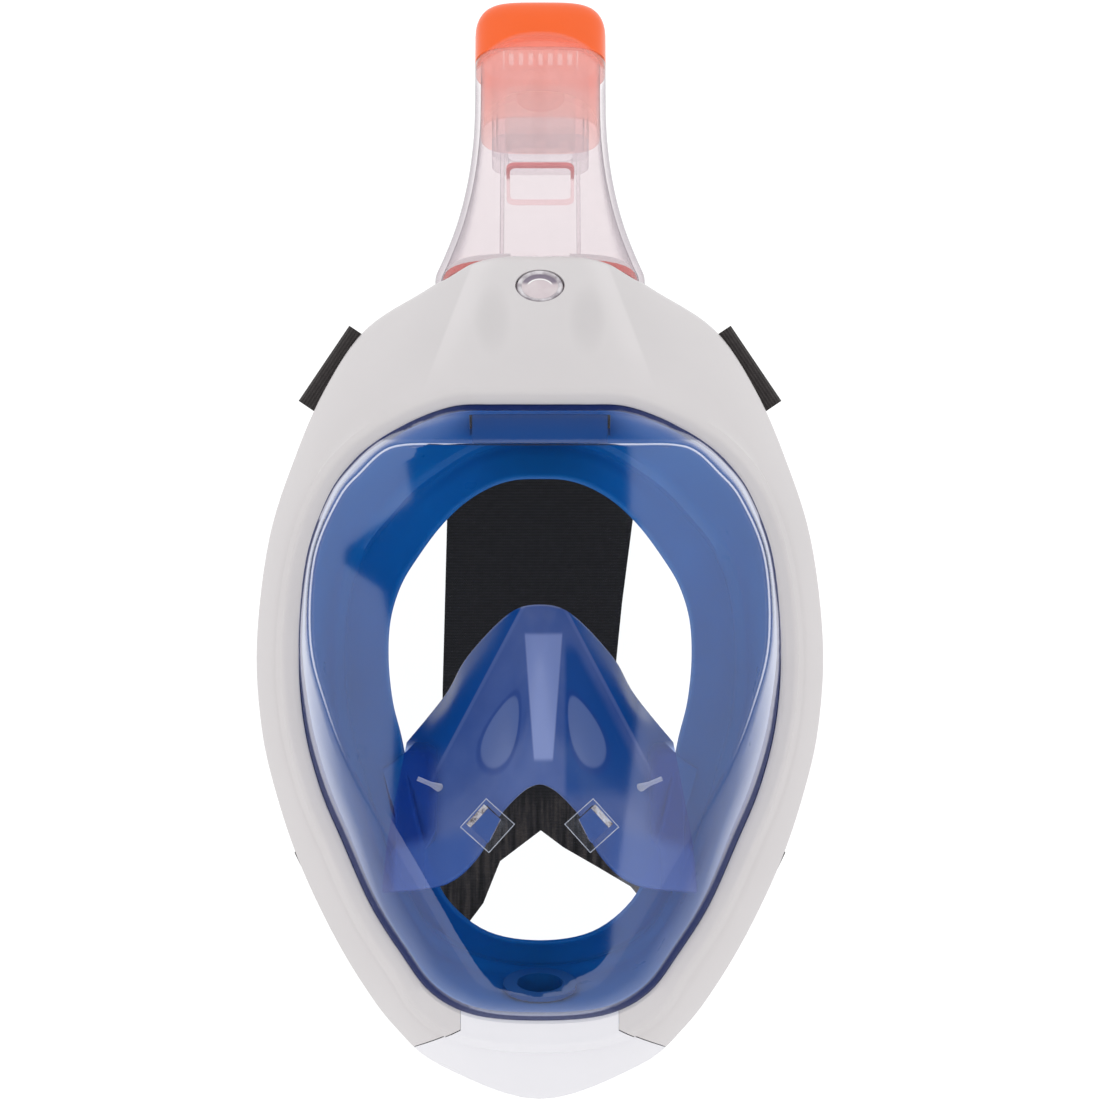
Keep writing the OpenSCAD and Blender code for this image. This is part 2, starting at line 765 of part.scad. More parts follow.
// Rows of [x, y, z, and the direction of the strap's width]
upper_path = smooth_path([
    [34, strap_y - 2.1, 98, 0, 0, -1], [44, strap_y - 2.3, 98.6, 0.06, 0, -1],
    [54, strap_y - 9, 99.4, 0.16, 0, -0.99], [62, 160, 101, 0.3, 0, -0.95], [65, 128, 103, 0.42, 0, -0.9],
    [66, 98, 105.4, 0.5, 0, -0.87], [65.4, 76, 106, 0.56, 0, -0.83]
], 3);
slide_from = [64, 140, -72];
slide_to = [64, 98, -66];
slide_wide = [0.47, 0, 0.88];
lower_path = concat(
    smooth_path([
        [40, strap_y - 2.5, -76, 0.6, 0, 0.8], [50, strap_y - 3.4, -79, 0.58, 0, 0.81],
        [58, strap_y - 9, -79, 0.54, 0, 0.84], [62.6, 161, -76, 0.5, 0, 0.86], concat(slide_from, slide_wide)
    ], 3),
    smooth_path([
        concat(slide_to, slide_wide), [67, 76, -64, 0.45, 0, 0.89], [70.4, 61.4, -62, 0.43, 0, 0.9]
    ], 2));

module strap_arm(path, side, place, out) {
    color([0.09, 0.09, 0.1])
        mirror_if(side)
            union() {
                band(path, strap_w, strap_t);
                edge_loop(place, out);
            }
}

module strap_upper(side) {
    strap_arm(upper_path, side, upper_anchor, 5.2);
}

module strap_lower(side) {
    strap_arm(lower_path, side, lower_anchor, 1.2);
}

module strap_panel() {
    half = [[0, 84], [16, 100], [34, 113], [50, 115], [50, 84], [38, 74], [33, 61], [30, 17], [25, -34],
        [61, -64], [45, -93], [21, -71], [0, -51]];
    color([0.08, 0.08, 0.09])
        translate([0, strap_y + 1.6, 0])
        rotate([90, 0, 0])
        linear_extrude(1.8)
        polygon(concat([for (p = half) [p.x * sx, p.y * sz]],
            [for (i = [len(half) - 2 : -1 : 1]) [-half[i].x * sx, half[i].y * sz]]));
}

// Slider with a window that the lower arm runs through
module strap_slider(side) {
    dir = unit(scaled(slide_to) - scaled(slide_from));
    across_dir = unit(slide_wide - (slide_wide * dir) * dir);
    thick = cross(dir, across_dir);
    p = scaled(slide_from) + 8 * dir;
    color([0.13, 0.13, 0.14])
        mirror_if(side)
            multmatrix([[across_dir.x, thick.x, dir.x, p.x], [across_dir.y, thick.y, dir.y, p.y],
                [across_dir.z, thick.z, dir.z, p.z]])
            difference() {
                rounded_box(strap_w + 7, 6.4, 12, 1.4);
                translate([0, 0, -1]) rounded_box(strap_w + 2, 3.4, 14, 0.8);
            }
}

face_frame();
chin_guard();
clamp_ring();
visor();
face_skirt();
nose_cup();
cup_pins();
inlet_seat(-1);  // inlet_seat_left
inlet_seat(1);  // inlet_seat_right
inlet_flap(-1);  // inlet_flap_left
inlet_flap(1);  // inlet_flap_right
drain_seat();
drain_disc();
drain_grille();
air_duct();
exhale_flap(-1);  // exhale_flap_left
exhale_flap(1);  // exhale_flap_right
socket_gasket();
snorkel_tube();
snorkel_ribs();
snorkel_cap();
cap_vent_grille();
release_clip();
float_housing();
valve_seat();
float_body();
float_seal();
cartridge_seal();
strap_panel();
strap_upper(-1);  // strap_upper_left
strap_upper(1);  // strap_upper_right
strap_lower(-1);  // strap_lower_left
strap_lower(1);  // strap_lower_right
strap_slider(-1);  // strap_slider_left
strap_slider(1);  // strap_slider_right
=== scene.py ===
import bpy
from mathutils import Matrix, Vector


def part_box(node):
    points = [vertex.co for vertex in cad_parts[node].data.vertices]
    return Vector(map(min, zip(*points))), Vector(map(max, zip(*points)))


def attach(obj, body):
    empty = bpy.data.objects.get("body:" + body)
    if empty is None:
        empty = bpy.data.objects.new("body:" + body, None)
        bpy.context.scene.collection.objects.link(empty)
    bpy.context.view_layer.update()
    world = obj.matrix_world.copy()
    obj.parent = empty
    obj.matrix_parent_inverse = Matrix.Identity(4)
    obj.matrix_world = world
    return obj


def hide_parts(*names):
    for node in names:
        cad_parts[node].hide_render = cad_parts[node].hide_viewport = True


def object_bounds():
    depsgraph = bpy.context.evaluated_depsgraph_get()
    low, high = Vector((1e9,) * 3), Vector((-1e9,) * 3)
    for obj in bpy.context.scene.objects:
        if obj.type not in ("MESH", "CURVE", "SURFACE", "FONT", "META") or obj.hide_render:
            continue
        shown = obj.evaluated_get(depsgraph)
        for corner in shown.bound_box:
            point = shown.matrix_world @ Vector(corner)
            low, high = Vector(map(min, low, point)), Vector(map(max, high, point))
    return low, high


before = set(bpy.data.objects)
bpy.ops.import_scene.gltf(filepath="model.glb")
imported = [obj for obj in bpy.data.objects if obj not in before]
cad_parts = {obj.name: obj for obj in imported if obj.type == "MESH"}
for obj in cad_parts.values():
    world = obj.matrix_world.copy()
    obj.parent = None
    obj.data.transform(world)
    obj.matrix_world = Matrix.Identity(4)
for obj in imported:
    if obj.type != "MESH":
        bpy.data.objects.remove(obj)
CAD_BOX = [list(corner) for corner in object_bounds()]

import math

import bmesh
import bpy
import numpy as np

MM = 0.001

# Half outlines of the mask in millimetres, from the top middle round the +X side to the bottom
# middle: x, depth behind the window's flat front, height
RIM = [
    (0, 22, 96), (14, 22, 96), (27, 22, 95.6), (39, 22.5, 91.8), (50, 23, 85.8), (60, 24, 78),
    (68.5, 25.5, 65.6), (75, 27.5, 45.5), (78.1, 29, 17.5), (76.7, 29, -6.5), (71.5, 28, -27.5),
    (64, 26, -45.4), (55, 23, -65.3), (45, 20.5, -80.9), (35, 18, -93.6), (21, 16.5, -100.6),
    (0, 16, -102.3),
]
EDGE = [
    (0, 61, 146), (13, 61, 145.8), (24, 61, 142.8), (38, 60.5, 134.5), (57, 58, 122), (70, 54, 102.8),
    (80, 50, 80), (88.5, 46, 53), (92.6, 45, 19), (91, 44, -9), (86, 43, -31), (78.5, 42, -53),
    (68, 40, -75), (57.5, 38.5, -92.6), (47, 37, -106.2), (32.5, 35.5, -118.4), (0, 34, -129.4),
]
FRONT = [
    (0, 0, 83.4), (16, 0, 83.4), (31, 0, 83.4), (43, 0, 83.2), (50, 0, 81.2), (57, 0, 74.8),
    (64.4, 0, 66), (72.2, 0, 47), (73.6, 0, 20), (68.2, 0, -2), (61, 0, -20.5), (52.6, 0, -36),
    (43.4, 0, -51.5), (34, 0, -67.5), (26, 0, -81), (17.5, 0, -91), (0, 0, -93.5),
]
FOLD = [
    (0, 62, 86), (11, 62, 85.5), (22, 62.5, 82), (32, 64, 76), (41.5, 66, 69), (50, 69, 60),
    (58, 72, 50), (64, 76, 36), (66.5, 80, 15), (65.5, 80, -4), (61.5, 79, -21), (56.5, 77, -37),
    (51, 74, -53), (44, 71, -67), (35.5, 68, -79), (20, 66, -87), (0, 66, -90),
]
LIP = [
    (0, 56, 73), (9, 56, 72.5), (17.5, 56.5, 69.7), (26, 58, 64.3), (33.5, 60, 56.8), (40.5, 63, 47.5),
    (46.5, 66, 37.7), (50.2, 70, 26), (51, 73, 12.5), (49.6, 73, -1.5), (46.6, 72, -13.5),
    (44, 70, -26.5), (41, 67, -40.5), (37, 64, -54.5), (30.5, 62, -67.5), (17.5, 60, -77.5),
    (0, 60, -80.5),
]
CUP_ROWS = [
    [(0, 47, 30.5), (10, 49, 27.5), (23.3, 55, 13.5), (30.5, 58, 1), (43.5, 62, -15)],
    [(0, 27, 15), (9, 33, 11), (23, 40, -1), (33, 44, -13), (46, 50, -29)],
    [(0, 13, -5), (10, 18, -12), (22, 23, -24), (34, 27, -36), (49, 33, -46)],
    [(0, 9, -25.5), (12.5, 10.5, -35), (20, 11.5, -49), (31, 14, -58), (50.5, 22.5, -61)],
]
BAND_ROWS = [
    [(0, 53, 28), (10, 55, 25), (23, 60, 11), (31, 64, -3), (44, 69, -18), (52, 73.5, -24)],
    [(0, 58, 20), (9, 60, 16), (21, 64, 3), (30, 67, -10), (41, 70, -25), (50, 73, -32)],
    [(0, 62, 11), (8, 63.5, 7), (18, 66.5, -6), (28, 69, -18), (38, 70.5, -31), (48, 72.5, -40)],
    [(0, 63, 7), (8, 64.3, 3), (18, 67, -11), (28, 69, -30), (38, 70.5, -50), (48, 72.5, -60)],
]

AROUND = 6            # mesh steps between two outline points
FRAME_WALL = 2.2
HOOD_RELIEF = 1.3
VISOR_WALL = 2.2
SKIRT_RIM = 1.7       # thickness of the skirt near the face opening
SKIRT_WALL = 2.0
CUP_WALL = 1.6
BAND_WALL = 1.8
SLEEVE_WALL = 1.0
RIM_REACH = 0.45      # how far a sheet's rounded rim stands out, as a share of half its thickness
RIM_WIDTH = 0.6       # width of the rim's flat, as a share of the thickness

# Snorkel. Places along its axis are in millimetres from the hood's mouth.
PLUG_LEAN = 45.0
TOP_LEAN = 27.0
ARC_FROM = 16.0
ARC_TO = 72.0
ARC_R = (ARC_TO - ARC_FROM) / math.radians(PLUG_LEAN - TOP_LEAN)
SNORKEL_W = 70.0
SNORKEL_TOP_W = 45.0
SNORKEL_D = 29.0
SNORKEL_WALL = 2.0
TAPER_FROM = 4.0
TAPER_LENGTH = 78.0
PLUG_DEPTH = 22.0
CAP_FROM = 99.5
CAP_TO = 120.6
CAP_STRAIGHT = 0.56           # share of the cap's height where its rounded top begins
CAP_ARCH = 11.0               # how much lower the opaque orange reaches at the cap's sides
FADE_FROM = CAP_FROM - 32.5   # the cap's colour deepens from here up to FADE_TO
FADE_TO = CAP_FROM + 13.8
SLEEVE_FROM = CAP_FROM - 26.5
SLEEVE_TO = CAP_FROM + 3
SECTION_POINTS = 96
HOLE_POINTS = 64
BUTTON_POINTS = 72
LIFT = np.array([0, math.sin(math.radians(PLUG_LEAN)), math.cos(math.radians(PLUG_LEAN))])
HOOD = np.array([0, -math.cos(math.radians(PLUG_LEAN)), math.sin(math.radians(PLUG_LEAN))])
MOUTH = np.array([0, 61.0, 146.0]) - (FRAME_WALL + 0.5 + SNORKEL_D / 2) * HOOD
BUTTON_AT = MOUTH - 17.8 * LIFT + SNORKEL_D / 2 * HOOD
BUTTON_DIA = 15.4
HOLE_R = BUTTON_DIA / 2 + 0.4
INLET_AT = np.array([16.6, 4.2, -38.8])
INLET_HOLE = 8.6
VALVE_TURN = math.radians(48)
DRAIN_AT = np.array([0, 47, -97.2])
DRAIN_TILT = math.radians(19)
DRAIN_R = 10.3
STRAP_Y = 185.0       # depth of the strap panel
STRAP_W = 30.0
STRAP_T = 1.6
ACROSS = np.linspace(-STRAP_W / 2, STRAP_W / 2, 13)
SLOT_ROOM = 0.8       # space beside the webbing in the frame's slots
LOOP_LENGTH = 16.0    # size of a webbing loop from front to back
LOOP_BACK = 4.8       # depth of a webbing loop's front behind its anchor
LOOP_IN = 9.4         # how far a webbing loop reaches in from the frame's edge
RIB_PITCH = 1.05
YARN_PITCH = 0.8


# ---- Curves and grids ----
def catmull(a, b, c, d, t):
    return b + 0.5 * t * (c - a + t * (2 * a - 5 * b + 4 * c - d + t * (3 * (b - c) + d - a)))


def smooth_path(points, k):
    """An open curve through the points, with k steps between two of them."""
    points = np.asarray(points, float)
    n = len(points)
    out = [catmull(points[max(i - 1, 0)], points[i], points[i + 1], points[min(i + 2, n - 1)], j / k)
           for i in range(n - 1) for j in range(k)]
    return np.array(out + [points[-1]])


def loop(half):
    """A closed curve through a half outline and its mirror image."""
    half = [np.array(p, float) for p in half]
    points = half + [p * (-1, 1, 1) for p in half[-2:0:-1]]
    n = len(points)
    return np.array([catmull(points[i - 1], points[i], points[(i + 1) % n], points[(i + 2) % n], j / AROUND)
                     for i in range(n) for j in range(AROUND)])


def mirrored_row(half, k):
    """An open row of points mirrored about its first point and rounded."""
    half = [np.array(p, float) for p in half]
    return smooth_path([p * (-1, 1, 1) for p in half[:0:-1]] + half, k)


def rounded_rows(rows, k):
    """Rows of a patch rounded across, with k steps between two of them."""
    rows = np.array(rows)
    return np.stack([smooth_path(rows[:, i], k) for i in range(rows.shape[1])], axis=1)


def unit(v):
    return v / np.maximum(np.linalg.norm(v, axis=-1, keepdims=True), 1e-9)


def grid_normals(g, wrap):
    """Normals at a grid's points. wrap joins the last column to the first."""
    along = np.gradient(g, axis=0)
    if wrap:
        around = np.roll(g, -1, axis=1) - np.roll(g, 1, axis=1)
    else:
        around = np.gradient(g, axis=1)
    return unit(np.cross(along, around))


def smoothstep(x, low, high):
    t = np.clip((x - low) / (high - low), 0, 1)
    return t * t * (3 - 2 * t)


# ---- Meshes ----
def mesh_object(name, verts, faces):
    """A mesh from points in millimetres."""
    mesh = bpy.data.meshes.new(name)
    mesh.from_pydata([tuple(v) for v in np.asarray(verts) * MM], [], faces)
    mesh.validate()
    obj = bpy.data.objects.new(name, mesh)
    bpy.context.scene.collection.objects.link(obj)
    return obj


def grid_faces(m, n, closed, wrap):
    """Quads over m rows of n points. closed joins the last row to the first, wrap the last column."""
    return [(j * n + i, (j + 1) % m * n + i, (j + 1) % m * n + (i + 1) % n, j * n + (i + 1) % n)
            for j in range(m if closed else m - 1) for i in range(n if wrap else n - 1)]


def band_mesh(name, rows, wrap):
    """A solid whose rows of points lead back to the first one. wrap closes each row as well."""
    m, n = rows.shape[:2]
    faces = grid_faces(m, n, True, wrap)
    if not wrap:
        faces += [tuple(j * n for j in range(m - 1, -1, -1)), tuple(j * n + n - 1 for j in range(m))]
    return mesh_object(name, rows.reshape(-1, 3), faces)


def rounded_sheet(name, grid, thickness, wrap=True):
    """A closed sheet over a grid, with rounded rims. wrap joins the last column to the first."""
    normals = grid_normals(grid, wrap)
    half = np.broadcast_to(np.asarray(thickness, float) / 2, grid.shape[:2])[..., None]
    over = grid + normals * half
    under = grid - normals * half
    first = unit(grid[0] - grid[1]) * half[0] * RIM_REACH
    last = unit(grid[-1] - grid[-2]) * half[-1] * RIM_REACH
    up, down = normals[-1] * half[-1] * RIM_WIDTH, normals[0] * half[0] * RIM_WIDTH
    end = [over[-1], grid[-1] + last + up, grid[-1] + last - up]
    start = [under[0], grid[0] + first - down, grid[0] + first + down]
    return band_mesh(name, np.array([*over[:-1], *end, *under[:0:-1], *start]), wrap)


def paint(obj, name, values):
    """A value for each point of the mesh, for the materials to read."""
    layer = obj.data.attributes.new(name, "FLOAT", "POINT")
    layer.data.foreach_set("value", np.asarray(values, dtype=np.float32))


def tube_mesh(name, rings):
    """A solid through closed rings."""
    rings = np.asarray(rings)
    m, n = rings.shape[:2]
    caps = [tuple(range(n)), tuple(range(m * n - 1, (m - 1) * n - 1, -1))]
    return mesh_object(name, rings.reshape(-1, 3), grid_faces(m, n, False, True) + caps)


def prism(name, outline, low, high):
    """A solid over an (x, z) outline, from depth low to high."""
    return tube_mesh(name, [[(x, y, z) for x, z in outline] for y in (low, high)])


def rounded_outline(w, d, r, steps=8):
    """Rounded rectangle as (x, y) points."""
    pts = []
    for cx, cy, start in ((w / 2 - r, d / 2 - r, 0), (-w / 2 + r, d / 2 - r, 90),
                          (-w / 2 + r, -d / 2 + r, 180), (w / 2 - r, -d / 2 + r, 270)):
        for s in range(steps + 1):
            a = math.radians(start + 90 * s / steps)
            pts.append((cx + r * math.cos(a), cy + r * math.sin(a)))
    return pts


def lean(t):
    """Lean of the snorkel's axis at t, in degrees."""
    return PLUG_LEAN - (PLUG_LEAN - TOP_LEAN) * min(1, max(0, (t - ARC_FROM) / (ARC_TO - ARC_FROM)))


def axis_point(t):
    """Point of the snorkel's axis, t millimetres from the hood's mouth."""
    a, b, top = (math.radians(angle) for angle in (lean(t), PLUG_LEAN, TOP_LEAN))
    before, after = min(t, ARC_FROM), max(0.0, t - ARC_TO)
    y = before * math.sin(b) + ARC_R * (math.cos(a) - math.cos(b)) + after * math.sin(top)
    z = before * math.cos(b) + ARC_R * (math.sin(b) - math.sin(a)) + after * math.cos(top)
    return MOUTH + (0, y, z)


def tube_width(t):
    """Width of the tube, which narrows along TAPER_LENGTH."""
    wider = 1 if t < TAPER_FROM else max(0, 1 - (t - TAPER_FROM) / TAPER_LENGTH) ** 1.9
    return SNORKEL_TOP_W + (SNORKEL_W - SNORKEL_TOP_W) * wider


def placed_on_axis(t, pts):
    """(x, y, z) points local to the snorkel's axis at t, moved to the mask's frame."""
    a = math.radians(lean(t))
    c = axis_point(t)
    return np.array([c + (x, y * math.cos(a) + z * math.sin(a), -y * math.sin(a) + z * math.cos(a))
                     for x, y, z in pts])


def section(t, w, d):
    """Rounded section across the snorkel at t, fuller in its corners than an ellipse."""
    pts = []
    for i in range(SECTION_POINTS):
        a = 2 * math.pi * i / SECTION_POINTS
        c, s = math.cos(a), math.sin(a)
        pts.append((w / 2 * math.copysign(abs(c) ** 0.55, c), d / 2 * math.copysign(abs(s) ** 0.62, s), 0))
    return placed_on_axis(t, pts)


def passage(name, w, d, low, high, r):
    """Prism along the plug direction, for cutting the hood."""
    outline = rounded_outline(w, d, r)
    side = np.array([0, LIFT[2], -LIFT[1]])
    rings = [[MOUTH + t * LIFT + (x, 0, 0) + y * side for x, y in outline] for t in (low, high)]
    return tube_mesh(name, rings)


def cylinder_cutter(name, at, axis, r, low, high):
    axis = unit(np.asarray(axis, float))
    u = unit(np.cross(axis, (0.3, 0.2, 1.0) if abs(axis[2]) < 0.9 else (1.0, 0, 0)))
    v = np.cross(axis, u)
    rings = [[at + t * axis + r * (math.cos(a) * u + math.sin(a) * v)
              for a in np.linspace(0, 2 * math.pi, HOLE_POINTS, endpoint=False)] for t in (low, high)]
    return tube_mesh(name, rings)


def fix_normals(obj):
    """Turns every face outwards."""
    bm = bmesh.new()
    bm.from_mesh(obj.data)
    bmesh.ops.recalc_face_normals(bm, faces=bm.faces)
    bm.to_mesh(obj.data)
    bm.free()


def cut(obj, cutters, operation="DIFFERENCE"):
    """Cuts an object by others, which are used up."""
    fix_normals(obj)
    for cutter in cutters:
        fix_normals(cutter)
        mod = obj.modifiers.new("cut", "BOOLEAN")
        mod.operation = operation
        mod.object = cutter
        mod.solver = "MANIFOLD"
    graph = bpy.context.evaluated_depsgraph_get()
    whole = obj.data
    result = bpy.data.meshes.new_from_object(obj.evaluated_get(graph), depsgraph=graph)
    obj.modifiers.clear()
    obj.data = result
    bpy.data.meshes.remove(whole)
    for cutter in cutters:
        bpy.data.objects.remove(cutter)


def soften(obj, angle):
    """Smooth shading that keeps the edges sharper than the angle in degrees."""
    obj.data.polygons.foreach_set("use_smooth", [True] * len(obj.data.polygons))
    obj.data.set_sharp_from_angle(angle=math.radians(angle))


def cover(obj, look):
    obj.data.materials.clear()
    obj.data.materials.append(look)


def finish_piece(obj, body, look, slot, *replaced):
    """Covers a piece, lets it stand in for CAD nodes, and rides it on a body."""
    cover(obj, look)
    if replaced:
        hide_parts(*replaced)
    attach(obj, body)


# ---- Node trees ----
def linear(c):
    """Linear colour of an sRGB one with parts from 0 to 255."""
    return tuple((v / 255 / 12.92) if v / 255 <= 0.04045 else ((v / 255 + 0.055) / 1.055) ** 2.4 for v in c)


def rgba(c):
    """A socket's colour from a grey level, an sRGB colour in whole numbers, or a linear one."""
    if not isinstance(c, tuple):
        return (c, c, c, 1)
    return (*linear(c), 1) if isinstance(c[0], int) else (*c, 1)


def operation(kind, swapped=False):
    """A method of Value that makes one math node."""
    if swapped:
        return lambda a, b: a.nodes.math(kind, b, a)
    return lambda a, b=0.0: a.nodes.math(kind, a, b)


class Value:
    """A number, colour or shader that a node tree works out. Numbers take plain arithmetic."""

    def __init__(self, nodes, socket):
        self.nodes = nodes
        self.socket = socket

    __sub__, __rsub__ = operation("SUBTRACT"), operation("SUBTRACT", True)
    __truediv__, __rtruediv__ = operation("DIVIDE"), operation("DIVIDE", True)
    __add__, __mul__, __pow__ = operation("ADD"), operation("MULTIPLY"), operation("POWER")
    __abs__, sine = operation("ABSOLUTE"), operation("SINE")
    at_least, at_most = operation("MAXIMUM"), operation("MINIMUM")


class Nodes:
    """Short way to build the node tree of a material or of the world."""

    def __init__(self, owner, output="ShaderNodeOutputMaterial"):
        owner.use_nodes = True
        self.owner = owner
        self.tree = owner.node_tree
        self.tree.nodes.clear()
        self.out = self.tree.nodes.new(output)

    def plug(self, value, socket):
        """Joins a value to an input, or sets the input to a number or colour."""
        value = getattr(value, "socket", value)
        if isinstance(value, bpy.types.NodeSocket):
            self.tree.links.new(value, socket)
        else:
            socket.default_value = rgba(value) if socket.type == "RGBA" else value

    def node(self, kind, **settings):
        """A node with its inputs, or else its properties, set by name."""
        made = self.tree.nodes.new("ShaderNode" + kind)
        inputs = {socket.name: socket for socket in made.inputs}
        for key, value in settings.items():
            socket = inputs.get(key.replace("_", " "))
            if socket is None:
                setattr(made, key, value)
            else:
                self.plug(value, socket)
        return made

    def value(self, kind, output=0, **settings):
        return Value(self, self.node(kind, **settings).outputs[output])

    def joined(self, kind, values, **settings):
        """The first output of a node with its inputs filled in order."""
        made = self.node(kind, **settings)
        for value, socket in zip(values, made.inputs):
            self.plug(value, socket)
        return Value(self, made.outputs[0])

    def math(self, kind, a, b):
        return self.joined("Math", (a, b), operation=kind)

    def mix(self, factor, a, b):
        """Shader a, or b where the factor is 1."""
        return self.joined("MixShader", (factor, a, b))

    def blend(self, factor, a, b):
        """Colour a, or b where the factor is 1."""
        return self.joined("MixRGB", (factor, a, b))

    def tint(self, colour, by, amount=1.0):
        return self.joined("MixRGB", (amount, colour, by), blend_type="MULTIPLY")

    def ramp(self, value, *stops):
        """Colour or grey level that follows the value through (place, colour) stops."""
        made = self.node("ValToRGB", Fac=value)
        elements = made.color_ramp.elements
        while len(elements) < len(stops):
            elements.new(0.5)
        for element, (at, colour) in zip(elements, stops):
            element.position = at
            element.color = rgba(colour)
        return Value(self, made.outputs[0])

    def step(self, value, low, high):
        """Soft step from 0 at low to 1 at high."""
        made = self.node("MapRange", interpolation_type="SMOOTHSTEP", Value=value)
        made.inputs["From Min"].default_value = low
        made.inputs["From Max"].default_value = high
        return Value(self, made.outputs["Result"])

    def place(self):
        """The point's x, y and z in millimetres."""
        split = self.node("SeparateXYZ", Vector=self.value("TexCoord", "Object"))
        return [Value(self, part) / MM for part in split.outputs]

    def noise(self, scale, detail=4.0, rough=0.5, vector=None):
        where = vector or self.value("TexCoord", "Object")
        return self.value("TexNoise", "Fac", Vector=where, Scale=scale, Detail=detail, Roughness=rough)

    def bump(self, height, strength, distance):
        return self.value("Bump", Height=height, Strength=strength, Distance=distance)

    def bsdf(self, kind, **settings):
        return self.value("Bsdf" + kind, **settings)

    def clear(self, *srgb):
        """What lies behind, seen through a colour."""
        return self.bsdf("Transparent", Color=srgb)

    def skin(self, colour, roughness, specular, grain=None, **settings):
        """Principled shader. grain: scale, strength and distance of a fine bump."""
        if grain:
            settings["Normal"] = self.bump(self.noise(grain[0], 3), *grain[1:])
        return self.bsdf("Principled", Base_Color=colour, Roughness=roughness,
                         Specular_IOR_Level=specular, **settings)

    def facing(self, blend=0.5):
        """0 where the surface faces the eye, up to 1 where it turns away."""
        return self.value("LayerWeight", "Facing", Blend=blend)

    def front(self):
        """1 on the outer side of a surface, 0 on its inner side."""
        return 1.0 - self.value("NewGeometry", "Backfacing")

    def ray(self, kind):
        return self.value("LightPath", "Is %s Ray" % kind)

    def airy(self, shader):
        """Lets the studio's light fall through a clear piece unweakened."""
        light = self.ray("Shadow").at_least(self.ray("Diffuse"))
        return self.mix(light, shader, self.clear(255, 255, 255))

    def surface(self, shader):
        self.plug(shader, self.out.inputs["Surface"])
        return self.owner


def new_material(name):
    return Nodes(bpy.data.materials.new(name))


# ---- Materials ----
def hood_shade(m):
    """Painted light and shade over the hood: a painted highlight along two soft ridges down from the socket,
    painted shade just outside them and in a dimple inside each.
    """
    x, _, z = m.place()
    off = abs(x) - ((140.0 - z) * 0.355 + 22.9)
    # Painted highlight on the ridges, painted shade just outside them and painted shade in the dimples.
    ridge = m.step(off, -9, -1) * m.step(off, 1.2, 0)
    outside = m.step(off, 0, 1.5) * m.step(off, 20, 4)
    across, up = (abs(x) - 15.5) / 5.5, (z - 124.0) / 11
    dimple = m.step(across * across + up * up, 1.6, 0)
    light = ridge * 0.06 - outside * 0.035 - dimple * 0.075
    return light * m.step(z, 98, 120) + 1.0


def moulded_plastic(name, srgb, roughness=0.34, spread=0.015, shade=None):
    """Satin moulded shell: faint flow mottling, fine grain and slightly uneven gloss."""
    m = new_material(name)
    base = linear(srgb)
    dark = tuple(c * (1 - spread * 3) for c in base)
    colour = m.ramp(m.noise(14, 5, 0.6), (0.3, dark), (0.7, base))
    # Optional painted light and shade, multiplied into the colour.
    if shade:
        colour = m.tint(colour, shade(m))
    gloss = m.noise(55) * 0.12 + (roughness - 0.06)
    return m.surface(m.skin(colour, gloss, 0.45, Coat_Weight=0.12, Coat_Roughness=0.25,
                            Normal=m.bump(m.noise(2600, 3, 0.6), 0.06, 0.0002)))


def silicone(name, srgb, dark_srgb):
    """Opaque moulded silicone: soft depth variation and a smooth, slightly oily gloss."""
    m = new_material(name)
    colour = m.ramp(m.noise(18, 4, 0.55), (0.32, dark_srgb), (0.68, srgb))
    return m.surface(m.skin(colour, m.noise(90) * 0.14 + 0.23, 0.22, (1400, 0.03, 0.0002)))


def translucent_silicone(name, srgb, edge_srgb, see_through=0.3, seen_through=(150, 172, 235)):
    """Milky tinted silicone: part of what lies behind shows, the edges look denser."""
    m = new_material(name)
    facing = m.facing(0.42)
    cloud = m.noise(24) * 0.35 + facing * 0.75
    colour = m.ramp(cloud, (0.15, srgb), (0.75, edge_srgb))
    body = m.skin(colour, m.noise(120) * 0.1 + 0.17, 0.5, (420, 0.05, 0.0004))
    solid = (facing * 0.5 + (1 - see_through)).at_most(1.0)
    return m.surface(m.mix(solid, m.clear(*seen_through), body))


def clear_plastic(name, tint=(253, 252, 253), edge=(206, 200, 206), haze=0.05):
    """Thin clear plastic: see-through face on, greyer and more reflective where it turns away."""
    m = new_material(name)
    tinted = m.ramp(m.facing(), (0.0, tint), (0.5, tint), (0.92, edge))
    milk = m.mix(0.5, m.bsdf("Diffuse", Color=(236, 231, 233)),
                 m.bsdf("Translucent", Color=(246, 240, 242)))
    smear = m.noise(45) * (0.3 * haze) + 0.85 * haze
    inner = m.mix(smear, m.bsdf("Transparent", Color=tinted), milk)
    shine = m.bsdf("Glossy", Roughness=m.noise(160, 3) * 0.03 + 0.05)
    mirror = m.value("Fresnel", IOR=1.4).at_most(0.8) * m.front()
    return m.surface(m.airy(m.mix(mirror, inner, shine)))


def cap_plastic(name):
    """Orange cap: opaque above an arch, fading to see-through pink down its inner sleeve."""
    m = new_material(name)
    x, _, z = m.place()
    low, high = (axis_point(t)[2] for t in (FADE_FROM, FADE_TO))
    arch = (abs(x) / (SNORKEL_TOP_W / 2)) ** 2.4
    span = (arch * CAP_ARCH + z - low) / (high - low)
    colour = m.ramp(span, (0.0, (244, 226, 223)), (0.36, (255, 192, 180)), (0.7, (255, 152, 134)),
                    (0.96, (255, 146, 124)), (1.0, (255, 100, 22)))
    colour = m.tint(colour, m.ramp(m.noise(60), (0.3, 0.86), (0.7, 1.0)), 0.2)
    body = m.skin(colour, 0.28, 0.5, (1500, 0.05, 0.0002))
    solid = m.ramp(span, (0.0, 0.0), (0.3, 0.25), (0.7, 0.42), (0.96, 0.36), (1.0, 1.0))
    return m.surface(m.airy(m.mix(solid, m.clear(255, 240, 238), body)))


